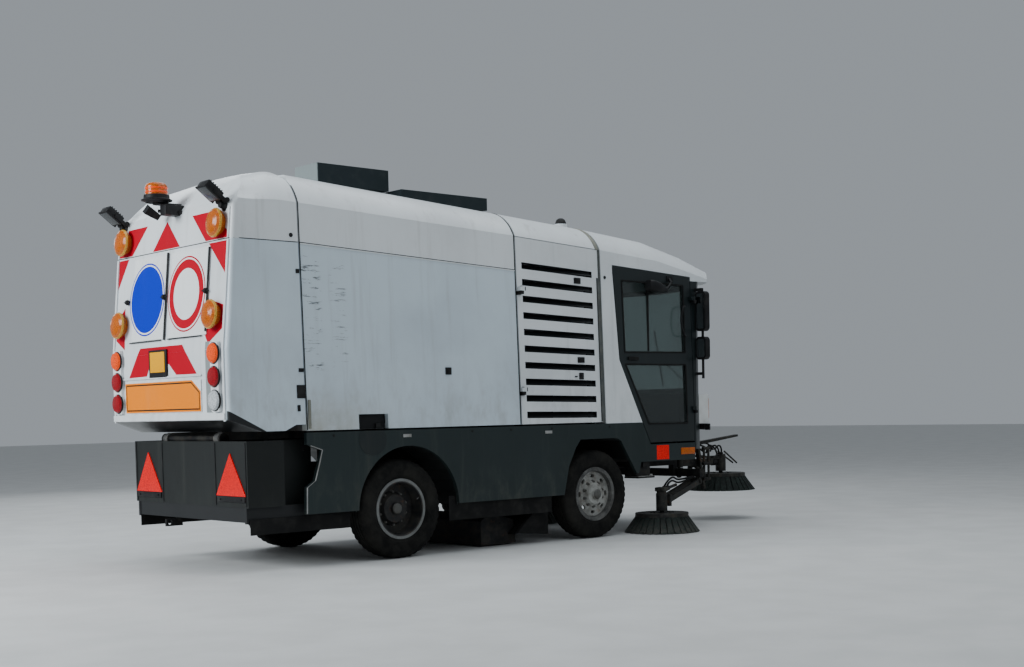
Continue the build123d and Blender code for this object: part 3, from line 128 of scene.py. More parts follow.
# Distance across a tyre from the middle, radius, and how deep the cross grooves cut there
HALF_TREAD = (
    (0.0, 0.4185, 0.0), (0.012, 0.4185, 0.0), (0.0135, 0.408, 0.0), (0.0215, 0.408, 0.0),
    (0.023, 0.4187, 0.0), (0.048, 0.4185, 0.0), (0.0495, 0.408, 0.0), (0.0575, 0.408, 0.0),
    (0.059, 0.418, 0.004), (0.088, 0.4165, 0.007), (0.1005, 0.409, 0.008), (0.1085, 0.398, 0.006),
    (0.114, 0.385, 0.0), (0.1195, 0.362, 0.0), (0.1205, 0.357, 0.0), (0.1223, 0.340, 0.0),
    (0.1205, 0.318, 0.0), (0.1215, 0.313, 0.0), (0.1160, 0.288, 0.0), (0.1170, 0.283, 0.0),
    (0.1060, 0.268, 0.0), (0.1, 0.2605, 0.0), (0.0945, 0.2575, 0.0), (0.0935, 0.2365, 0.0),
)
# A brush's bristles: how many in a row, radius of the inner row at root and tip, and what the rows add
BRISTLES_IN_ROW = 420
ROOT_RADIUS, ROOT_SPREAD = 0.175, 0.082
TIP_RADIUS, TIP_SPREAD = 0.292, 0.078
BRISTLE_HALF, BRISTLE_TOP, BRISTLE_FOOT = 0.0019, -0.03, -0.184
# The crown over the tailgate: longest edge, how far its middle and corners sink, how far corners pull in
CROWN_EDGE, MIDDLE_DROP, CORNER_DROP, CORNER_PULL = 0.07, 0.075, 0.055, 0.03
# Colour, place across and foot of the clip of each round sign
SIGNS = (("red", -0.312, 1.855), ("blue", 0.352, 1.853))
# Across the face and height of the corners of the blank orange board, and of the line inside its edge
BOARD = ((0.71, 1.519), (-0.43, 1.519), (-0.565, 1.43), (-0.565, 1.271), (0.71, 1.271))
BOARD_LINE = ((0.690, 1.500), (-0.42, 1.500), (-0.545, 1.42), (-0.545, 1.290), (0.690, 1.290))
# Place across and distance up the leaning face of each flasher
FLASHERS = ((-0.78, 0.966), (0.78, 0.966), (-0.775, 0.262), (0.775, 0.262))
# Height and radius of the headlamps
HEADLAMPS = ((1.272, 0.062), (1.132, 0.056))
# Place across of a wiper's foot, and across and height of its tip
WIPERS = ((-0.52, -0.05, 2.02), (0.30, 0.62, 2.00))
SCREW_STATIONS = (-0.7, 0.75, 1.2, 1.7, 2.45)
# Station, height, length and height of the black latches on an engine door
DOOR_LATCHES = (
    (2.088, 2.422, 0.082, 0.055),
    (2.10, 1.685, 0.085, 0.052),
    (2.097, 1.535, 0.055, 0.062),
)
# The same for the black boxes and notches on the side of the tailgate; each notch is a black block, painted
# shade in its recess
TAILGATE_BOXES = (
    (-0.980, 2.36, 0.030, 0.034),
    (-0.995, 1.41, 0.075, 0.105),
    (-0.985, 1.58, 0.045, 0.030),
    (-1.020, 1.28, 0.026, 0.050),
)
# Station and height of each corner of the door's two windows, and along the bar of its handle
WINDOWS = (
    ((2.684, 2.452), (3.56, 2.440), (3.56, 1.772), (2.694, 1.766)),
    ((2.700, 1.649), (3.56, 1.648), (3.56, 1.066), (2.995, 1.070)),
)
HANDLE = ((3.575, 2.235), (3.50, 2.215), (3.468, 2.13), (3.466, 2.04), (3.495, 1.955), (3.575, 1.935))
# Place along the lamp over a door, half width and half height of its sections
DOOR_LAMP_SECTIONS = (
    (-0.120, 0.042, 0.046),
    (-0.08, 0.058, 0.056),
    (0.02, 0.052, 0.052),
    (0.10, 0.030, 0.034),
    (0.15, 0.018, 0.02),
)
# Half width, foot and top of the rear triangles
TRIANGLE_HALF, TRIANGLE_FOOT, TRIANGLE_TOP = 0.225, 0.600, 0.935
# Station and height along the worn edge of the skirt behind the rear wheel
WORN_EDGE = (
    (-0.978, 0.44), (-0.971, 0.648), (-0.893, 0.699), (-0.845, 0.850), (-0.819, 0.943), (-0.93, 0.981),
)
# Stations of both ends, distance out and the two heights of the rubber valances
VALANCES = ((0.50, 1.72, 0.951, 0.285, 0.50), (-1.44, -0.50, 0.905, 0.295, 0.42))
SKINS = {}
FINISHES = {}


def ahead(distance):
    """X of a station forward of the rear axle."""
    return REAR_AXLE + distance


def at(station, y, z):
    """Place from a station, an offset across and a height."""
    return Vector((ahead(station), y, z))


def side_y(z):
    """Half width of the leaning body side at height z."""
    return 1.0 - 0.028 * (z - 1.1)


def on_side(station, z, sign, out=0.0):
    """Place on the leaning body side, moved outward."""
    return at(station, sign * (side_y(z) + out), z)


def face_point(y, z, out=0.0):
    """Point on the tailgate's rear face, upright below and leaning forward above."""
    lean = max(0.0, z - LEAN_START) * LEAN_SLOPE
    if z <= LEAN_START:
        return Vector((FACE_X - out, y, z))
    length = math.hypot(1.0, LEAN_SLOPE)
    return Vector((FACE_X + lean - out / length, y, z + out * LEAN_SLOPE / length))


def oblong(y0, y1, z0, z1):
    """Corners of a rectangle on the rear face."""
    return (y0, z0), (y1, z0), (y1, z1), (y0, z1)


def circle(radius, count, shift=0.0):
    """Points round a circle, turned by a share of their spacing."""
    turns = [math.tau * (step + shift) / count for step in range(count)]
    return [(radius * math.cos(turn), radius * math.sin(turn)) for turn in turns]


def arc_through(first, middle, last, steps):
    """Points along the circular arc through three points of a plane."""
    (ax, ay), (bx, by), (cx, cy) = first, middle, last
    d = 2 * (ax * (by - cy) + bx * (cy - ay) + cx * (ay - by))
    aa, bb, cc = ax * ax + ay * ay, bx * bx + by * by, cx * cx + cy * cy
    ox = (aa * (by - cy) + bb * (cy - ay) + cc * (ay - by)) / d
    oy = (aa * (cx - bx) + bb * (ax - cx) + cc * (bx - ax)) / d
    radius = math.hypot(ax - ox, ay - oy)
    start = math.atan2(ay - oy, ax - ox)
    sweep = math.atan2(cy - oy, cx - ox) - start
    sweep = (sweep + math.pi) % math.tau - math.pi
    turns = [start + sweep * step / steps for step in range(steps + 1)]
    return [(ox + radius * math.cos(turn), oy + radius * math.sin(turn)) for turn in turns]


def body_outline(station, low, grow):
    """Across and height along the body's section, from the foot of the side to the middle of the roof."""
    for (a, *lower), (b, *upper) in zip(BODY_STATIONS, BODY_STATIONS[1:]):
        if station <= b:
            share = (station - a) / (b - a)
            crease, shoulder, crown = [p + share * (q - p) for p, q in zip(lower, upper)]
            break
    foot, edge, top = (side_y(low), low), (side_y(crease), crease), (SHOULDER_Y, shoulder)
    bulge = (0.5 * (edge[0] + top[0]) + 0.027, 0.5 * (edge[1] + top[1]) + 0.030)
    shares = [step / 6 for step in range(6)]
    outline = [tuple(p + share * (q - p) for p, q in zip(foot, edge)) for share in shares]
    outline += arc_through(edge, bulge, top, 9)
    outline += arc_through(top, (0.0, crown), (-top[0], top[1]), 20)[1:11]
    grown = []
    for index, (y, z) in enumerate(outline):
        before, after = outline[max(0, index - 1)], outline[min(len(outline) - 1, index + 1)]
        run = Vector((after[0] - before[0], after[1] - before[1])).normalized()
        grown.append((y + run.y * grow, z - run.x * grow))
    return grown


def touch(node, start, direction, proud=0.0):
    """Where a line meets a CAD node's surface, raised off it, and the surface's outward direction."""
    if node not in SKINS:
        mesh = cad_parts[node].data
        SKINS[node] = BVHTree.FromPolygons([v.co for v in mesh.vertices], [p.vertices for p in mesh.polygons])
    direction = Vector(direction)
    spot, normal, _, _ = SKINS[node].ray_cast(Vector(start), direction)
    if spot is None:
        raise RuntimeError(f"no surface of {node} from {tuple(start)}")
    if normal.dot(direction) > 0:
        normal = -normal
    return spot + normal * proud, normal


def side_spot(node, station, z, sign):
    """Point on the outer side of a CAD node at a station and height, and its outward direction."""
    return touch(node, at(station, sign * 3.0, z), (0, -sign, 0))


def front_spot(node, y, z, proud=0.0):
    """Point on the front of a CAD node, and its outward direction."""
    return touch(node, (4, y, z), (-1, 0, 0), proud)


def ease(value, start, end):
    """Zero before start, one after end, and smooth between."""
    share = min(1.0, max(0.0, (value - start) / (end - start)))
    return share * share * (3 - 2 * share)


def basis(origin, normal, up=UP):
    """Matrix whose Z is the normal and whose Y leans towards up."""
    z = normal.normalized()
    x = up.cross(z)
    if x.length < 1e-6:
        x = Vector((1, 0, 0))
    x.normalize()
    rotation = Matrix((x, z.cross(x), z)).transposed().to_4x4()
    return Matrix.Translation(origin) @ rotation


def tilted(place, angle, axis="Y"):
    """Matrix at a place, turned about an axis by an angle in degrees."""
    return Matrix.Translation(place) @ Matrix.Rotation(math.radians(angle), 4, axis)


# Mesh building


def loft(bm, rings):
    """Closed form through rings of vertices."""
    for near, far in zip(rings, rings[1:]):
        for index in range(len(near)):
            follow = (index + 1) % len(near)
            bm.faces.new((near[index], near[follow], far[follow], far[index]))
    bm.faces.new(rings[0])
    bm.faces.new(list(reversed(rings[-1])))


def hoop(bm, start, end, sign, low, high, thickness):
    """Strip round one half of the body between two stations, limited to heights from low to high."""
    rings = [body_outline(s, low, SKIN_GAP) for s in (start, end)]
    rings += [body_outline(s, low, SKIN_GAP + thickness) for s in (end, start)]
    rows = []
    for spots in zip(*rings):
        if spots[0][1] <= high:
            ends = zip((start, end, end, start), spots)
            rows.append([bm.verts.new(at(s, sign * y, z)) for s, (y, z) in ends])
    loft(bm, rows)


def block(bm, centre, size, matrix=None, bevel=0.0):
    """Box with softened edges."""
    made = bmesh.ops.create_cube(bm, size=1.0)
    place = Matrix.Translation(Vector(centre)) @ Matrix.Diagonal((*size, 1.0))
    bmesh.ops.transform(bm, matrix=(matrix or Matrix()) @ place, verts=made["verts"])
    if bevel:
        edges = list({edge for vert in made["verts"] for edge in vert.link_edges})
        bmesh.ops.bevel(bm, geom=edges, offset=bevel, segments=2, affect="EDGES", profile=0.6)


def rod(bm, start, end, radius, steps=14, end_radius=None):
    """Round bar between two points."""
    start, end = Vector(start), Vector(end)
    place = basis((start + end) / 2, end - start, Vector((0.1, 0.3, 0.95)))
    tip = radius if end_radius is None else end_radius
    sizes_of_rod = {"radius1": radius, "radius2": tip, "depth": (end - start).length}
    bmesh.ops.create_cone(bm, cap_ends=True, segments=steps, matrix=place, **sizes_of_rod)


def turned(bm, place, profile, steps=48):
    """Form turned round the matrix's Z from (radius, height) points."""
    rings = []
    for radius, height in profile:
        spots = circle(radius, steps) if radius >= 1e-6 else [(0, 0)]
        rings.append([bm.verts.new(place @ Vector((x, y, height))) for x, y in spots])
    for low, high in zip(rings, rings[1:]):
        if len(low) == len(high) == 1:
            continue
        for step in range(steps):
            follow = (step + 1) % steps
            turns = ((low, step), (low, follow), (high, follow), (high, step))
            bm.faces.new(list(dict.fromkeys(ring[index % len(ring)] for ring, index in turns)))


def button(bm, place, profile, steps):
    """Turned form that starts at the middle of its base."""
    turned(bm, place, ((0, 0), *profile), steps)


def plate(bm, corners, normal, thickness):
    """Flat plate from its outline, thickened along the normal."""
    lift = Vector(normal).normalized() * thickness
    loft(bm, [[bm.verts.new(Vector(c) + rise) for c in corners] for rise in (Vector(), lift)])


def face_plate(bm, corners, out, normal, thickness):
    """Plate on the tailgate's rear face from (across, height) corners."""
    plate(bm, [face_point(y, z, out) for y, z in corners], normal, thickness)


def band(bm, path, width_dir, width, thick_dir, thickness):
    """Flat strip that follows a path, such as a seal or a trim line."""
    wide = Vector(width_dir).normalized() * width / 2
    thick = Vector(thick_dir).normalized() * thickness
    shifts = (-wide, wide, wide + thick, thick - wide)
    loft(bm, [[bm.verts.new(Vector(point) + shift) for shift in shifts] for point in path])


def bolt(bm, centre, normal, radius=0.011, height=0.008):
    """Hexagon bolt head on a washer."""
    place = basis(Vector(centre), Vector(normal))
    button(bm, place, ((radius * 1.5, 0), (radius * 1.5, 0.002), (radius * 1.2, 0.0025), (0, 0.0025)), 18)
    head = ((0, 0.002), (radius, 0.002), (radius, height * 0.8), (radius * 0.8, height), (0, height))
    turned(bm, place, head, 6)


def settle(name, data, finish, body):
    """Put data into the scene with a finish, as an object that rides on a body."""
    made = bpy.data.objects.new(name, data)
    bpy.context.scene.collection.objects.link(made)
    data.materials.append(FINISHES[finish])
    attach(made, body)
    return made


def piece(name, bm, finish, body, smooth=False):
    """Turn the mesh into an object that rides on a body."""
    bmesh.ops.recalc_face_normals(bm, faces=bm.faces)
    mesh = bpy.data.meshes.new(name)
    bm.to_mesh(mesh)
    bm.free()
    if smooth:
        mesh.shade_smooth()
        mesh.set_sharp_from_angle(angle=SHARP_ANGLE)
    return settle(name, mesh, finish, body)


def slab(name, centre, size, place, bevel, finish, body):
    """Piece that is a single block."""
    bm = bmesh.new()
    block(bm, centre, size, place, bevel)
    piece(name, bm, finish, body, bevel > 0)


def hose(name, points, radius, finish, body):
    """Smooth tube through a few points."""
    curve = bpy.data.curves.new(name, "CURVE")
    curve.dimensions = "3D"
    curve.bevel_depth = radius
    curve.bevel_resolution = 3
    curve.resolution_u = 8
    spline = curve.splines.new("BEZIER")
    spline.bezier_points.add(len(points) - 1)
    for knot, point in zip(spline.bezier_points, points):
        knot.co = point
        knot.handle_left_type = knot.handle_right_type = "AUTO"
    settle(name, curve, finish, body)


# Materials


class Graph:
    """Small helper that adds and joins shader nodes."""

    def __init__(self, name):
        self.material = bpy.data.materials.new(name)
        self.material.use_nodes = True
        self.tree = self.material.node_tree
        self.shader = self.tree.nodes["Principled BSDF"]
        self.place = self.node("TexCoord", {}, "Object")

    def feed(self, target, value):
        """Give an input a constant, or a link from another node."""
        if isinstance(value, bpy.types.NodeSocket):
            self.tree.links.new(value, target)
        else:
            target.default_value = (*value, 1.0) if target.type == "RGBA" else value

    def node(self, kind, feeds, output=0, **values):
        """Add a node, set it up, and give one of its outputs."""
        node = self.tree.nodes.new("ShaderNode" + kind)
        for key, value in values.items():
            setattr(node, key, value)
        for key, value in feeds.items():
            self.feed(node.inputs[key], value)
        return node.outputs[output]

    def calc(self, operation, *terms):
        return self.node("Math", dict(enumerate(terms)), operation=operation)

    def times(self, first, second):
        return self.calc("MULTIPLY", first, second)

    def sum_of(self, *terms, offset=0.0):
        """Offset plus each (socket, factor)."""
        total = offset
        for source, factor in terms:
            total = self.calc("MULTIPLY_ADD", source, factor, total)
        return total

    def along(self, axis):
        return self.node("SeparateXYZ", {"Vector": self.place}, axis)

    def off_middle(self):
        """Distance from the vehicle's middle plane."""
        return self.calc("ABSOLUTE", self.along("Y"))

    def noise(self, scale, detail=4.0, stretch=(1, 1, 1), rough=0.55):
        place = self.node("Mapping", {"Scale": stretch, "Vector": self.place}, "Vector")
        return self.node(
            "TexNoise", {"Scale": scale, "Detail": detail, "Roughness": rough, "Vector": place}, "Fac"
        )

    def cells(self, scale, feature):
        return self.node("TexVoronoi", {"Scale": scale, "Vector": self.place}, "Distance", feature=feature)

    def ramp(self, source, low, high, start=0.0, end=1.0):
        limits = {"From Min": low, "From Max": high, "To Min": start, "To Max": end, "Value": source}
        return self.node("MapRange", limits, "Result", interpolation_type="SMOOTHSTEP")

    def blotch(self, scale, detail, low, high, stretch=(1, 1, 1), rough=0.55, start=0.0, end=1.0):
        """Noise with a soft threshold."""
        return self.ramp(self.noise(scale, detail, stretch, rough), low, high, start, end)

    def within(self, source, low, high, soft):
        """One between two values, falling to zero over a soft edge."""
        return self.times(self.ramp(source, low - soft, low), self.ramp(source, high + soft, high))

    def reach(self, x, z):
        """Distance from a cross axis at x and z."""
        shift = self.node("VectorMath", {0: self.place, 1: (x, 0.0, z)}, "Vector", operation="SUBTRACT")
        flat = self.node("VectorMath", {0: shift, 1: (1.0, 0.0, 1.0)}, "Vector", operation="MULTIPLY")
        return self.node("VectorMath", {0: flat}, "Value", operation="LENGTH")

    def tint(self, base, colour, amount):
        """Lay a colour over a base by an amount socket."""
        return self.node("Mix", {"Factor": amount, "A": base, "B": colour}, "Result", data_type="RGBA")

    def bump(self, source, strength, distance):
        feeds = {"Strength": strength, "Distance": distance, "Height": source}
        self.feed(self.shader.inputs["Normal"], self.node("Bump", feeds, "Normal"))

    def finish(self, colour, rough, **values):
        for key, value in {"Base Color": colour, "Roughness": rough, **values}.items():
            self.feed(self.shader.inputs[key.replace("_", " ")], value)
        return self.material


def dimmed(colour, share):
    return tuple(channel * share for channel in colour)


def weathered_paint(name, colour, dirt, dirt_amount, rough, low, high, coat, scuffs=0.0, shade=None):
    """Sprayed paint with run-down grime, road film towards the bottom and fine scuffs."""
    g = Graph(name)
    height = g.along("Z")
    cloud = g.noise(1.3, 6)
    base = g.tint(colour, dimmed(colour, 0.86), g.ramp(cloud, 0.35, 0.75))
    streak = g.blotch(3.2, 7, 0.52, 0.78, (3.0, 3.0, 0.16), 0.62)
    patch = g.blotch(7.0, 8, 0.42, 0.72, (1, 1, 0.5), 0.65)
    film = g.times(g.times(g.ramp(height, high, low), patch), dirt_amount)
    base = g.tint(base, dirt, g.calc("MAXIMUM", g.times(streak, 0.75 * dirt_amount), film))
    speck = g.blotch(60.0, 3, 0.68, 0.76, rough=0.6)
    base = g.tint(base, dimmed(dirt, 0.35), g.times(speck, 0.5 * dirt_amount))
    if scuffs:
        lines = g.blotch(13.0, 9, 0.565, 0.61, (0.42, 0.30, 3.4), 0.74)
        station = g.along("X")
        near_seam = g.within(station, ahead(-0.93), ahead(-0.80), 0.05)
        second = g.times(g.within(station, ahead(-0.66), ahead(-0.55), 0.04), 0.6)
        where = g.times(g.calc("MAXIMUM", near_seam, second), g.within(height, 1.62, 2.44, 0.08))
        base = g.tint(base, (0.045, 0.045, 0.045), g.times(g.times(lines, where), scuffs))
        hair = g.blotch(3.0, 9, 0.69, 0.73, (0.12, 0.12, 9.0), 0.72)
        base = g.tint(base, (0.2, 0.2, 0.2), g.times(hair, 0.35 * scuffs))
        foot = g.times(g.ramp(height, 1.5, 1.1), g.ramp(station, ahead(0.2), ahead(-1.0)))
        mud = g.blotch(5.0, 8, 0.3, 0.7, rough=0.65, start=0.25, end=0.7)
        base = g.tint(base, (0.34, 0.31, 0.24), g.times(foot, mud))
    if shade:
        base = shade(g, base)
    g.bump(g.noise(240.0, 2), 0.05, 0.0006)
    sheen = g.ramp(cloud, 0.3, 0.8, rough - 0.06, rough + 0.12)
    return g.finish(base, sheen, Coat_Weight=coat, Coat_Roughness=0.22, Specular_IOR_Level=0.3)


def louvre_shade(g, base):
    """Painted shade: everything inside the ten louvre openings is darkened, blades too; their spacing narrows
    a little to the front.
    """
    station = g.along("X")
    start = ahead(LOUVRE_REAR[0])
    run = ahead(LOUVRE_FRONT[0]) - start
    slopes = [(front - rear) / run for rear, front in zip(LOUVRE_REAR[1:], LOUVRE_FRONT[1:])]
    drop = g.sum_of((station, slopes[0]), (g.along("Z"), -1.0), offset=LOUVRE_REAR[1] - slopes[0] * start)
    pitch = g.sum_of((station, slopes[1]), offset=LOUVRE_REAR[2] - slopes[1] * start)
    share = g.calc("DIVIDE", drop, pitch)
    nearest = g.calc("PINGPONG", share, 0.5)
    rows = g.times(g.ramp(nearest, 0.200, 0.197), g.within(share, -0.3, 9.3, 0.05))
    inside = g.within(station, start - 0.001, start + run + 0.001, 0.002)
    return g.tint(base, (0.008, 0.010, 0.011), g.times(rows, inside))


def torn_corner_shade(g, base):
    """Painted shade on the underside, and where the lower rear corner of the tailgate side is broken away."""
    drop = g.sum_of((g.along("X"), -0.527), (g.along("Z"), -1.0), offset=1.278 + 0.527 * ahead(-1.648))
    torn = g.times(g.ramp(drop, 0.0, 0.004), g.ramp(g.off_middle(), 0.940, 0.944))
    return g.tint(under_shade(g, base), (0.008, 0.009, 0.010), torn)


def under_shade(g, base):
    """Painted shade on the sloping underside of the tailgate."""
    low = g.times(g.ramp(g.along("Z"), 1.1985, 1.1965), g.ramp(g.along("X"), ahead(-1.634), ahead(-1.628)))
    return g.tint(base, (0.008, 0.009, 0.010), g.times(low, g.ramp(g.off_middle(), 0.945, 0.935)))


def skirt_inside_shade(g, base):
    """Painted shade: the inside of the skirts and wheel arches darkened to black."""
    return g.tint(base, (0.006, 0.007, 0.007), g.ramp(g.off_middle(), 0.966, 0.962))


def sill_shade(g, base):
    """Black valance under the rear lower panel."""
    return g.tint(base, (0.010, 0.011, 0.012), g.ramp(g.along("Z"), 0.514, 0.508))


def duct_shade(g, base):
    """Light rear end on the dark roof housing."""
    return g.tint(base, (0.20, 0.23, 0.23), g.ramp(g.along("X"), ahead(-0.410), ahead(-0.416)))


def rim_shade(x, light, start):
    """Ring of another tone round the edge of a wheel."""

    def shade(g, base):
        worn = g.blotch(12.0, 8, 0.3, 0.7, rough=0.66, start=0.55)
        return g.tint(base, light, g.times(g.ramp(g.reach(x, TYRE_RADIUS), start, start + 0.008), worn))

    return shade


def dark_metal(name, colour, dust, amount, rough, metal, rust, shade=None):
    """Chassis black, castings and brackets under road dust and some rust."""
    g = Graph(name)
    base = g.tint(colour, dimmed(colour, 1.7), g.blotch(5.0, 6, 0.4, 0.7))
    powder = g.blotch(11.0, 8, 0.4, 0.7, rough=0.66)
    base = g.tint(base, dust, g.times(powder, amount))
    if rust:
        base = g.tint(base, (0.16, 0.07, 0.03), g.times(g.blotch(16.0, 9, 0.56, 0.68, rough=0.7), rust))
    if shade:
        base = shade(g, base)
    g.bump(g.noise(130.0, 5), 0.25, 0.001)
    return g.finish(base, g.ramp(powder, 0, 1, rough, rough + 0.25), Metallic=metal, Specular_IOR_Level=0.2)


def moulded(name, colour, rough, grain, strength, dust, coat=0.0, shade=None):
    """Moulded plastic with a fine grain and a little dust."""
    g = Graph(name)
    base = g.tint(colour, (0.32, 0.3, 0.27), g.times(g.blotch(9.0, 6, 0.45, 0.75), dust))
    if shade:
        base = shade(g, base)
    g.bump(g.noise(grain, 3), strength, 0.0008)
    sheen = g.ramp(g.noise(4.0, 4), 0.3, 0.7, rough - 0.05, rough + 0.1)
    return g.finish(base, sheen, Coat_Weight=coat, Specular_IOR_Level=0.2)


def lens(name, colour, glow):
    """Coloured lamp lens with moulded prisms behind a smooth skin; its glow is a lamp's light, and on the red
    reflector a painted glow.
    """
    g = Graph(name)
    cells = g.cells(160.0, "F1")
    g.bump(cells, 0.25, 0.001)
    base = g.tint(colour, dimmed(colour, 0.45), g.ramp(cells, 0.25, 0.8))
    light = {"Emission_Color": colour, "Emission_Strength": glow} if glow else {}
    return g.finish(base, 0.22, Coat_Weight=0.25, Coat_Roughness=0.05, Specular_IOR_Level=0.25, **light)


def foil(name, colour, dirt):
    """Retroreflective sheet with a fine cell pattern and weathering."""
    g = Graph(name)
    base = g.tint(colour, dimmed(colour, 0.8), g.ramp(g.cells(330.0, "DISTANCE_TO_EDGE"), 0.12, 0.02))
    base = g.tint(base, (0.3, 0.27, 0.22), g.times(g.blotch(6.0, 8, 0.5, 0.8, (1, 1, 0.3), 0.66), dirt))
    return g.finish(base, 0.5, Specular_IOR_Level=0.08)


def mirror_face(name):
    """Silvered glass with a thin film of dust."""
    g = Graph(name)
    return g.finish((0.62, 0.66, 0.68), g.blotch(14.0, 5, 0.4, 0.8, start=0.03, end=0.16), Metallic=1.0)


def tyre_rubber(name):
    """Road tyre rubber: worn grey tread, dusty sidewall."""
    g = Graph(name)
    base = g.tint((0.006, 0.006, 0.006), (0.016, 0.0155, 0.014), g.blotch(14.0, 8, 0.35, 0.7, rough=0.65))
    base = g.tint(base, (0.035, 0.033, 0.028), g.times(g.blotch(3.0, 6, 0.45, 0.7), 0.35))
    g.bump(g.noise(160.0, 4), 0.3, 0.0012)
    return g.finish(base, 0.88, Specular_IOR_Level=0.12)


def cab_glass(name):
    """Lightly tinted safety glass with a film of dust."""
    g = Graph(name)
    film = g.blotch(3.0, 7, 0.4, 0.8, (1, 1, 0.5), start=0.03, end=0.14)
    return g.finish((0.36, 0.42, 0.41), film, Transmission_Weight=0.96, IOR=1.4)


def bristle_finish(name):
    """Dark bristles, dusty at the tips."""
    g = Graph(name)
    base = g.tint((0.012, 0.014, 0.013), (0.07, 0.068, 0.06), g.times(g.ramp(g.along("Z"), 0.16, 0.0), 0.8))
    base = g.tint(base, (0.02, 0.03, 0.026), g.blotch(40.0, 4, 0.4, 0.7))
    return g.finish(base, 0.7, Specular_IOR_Level=0.12)


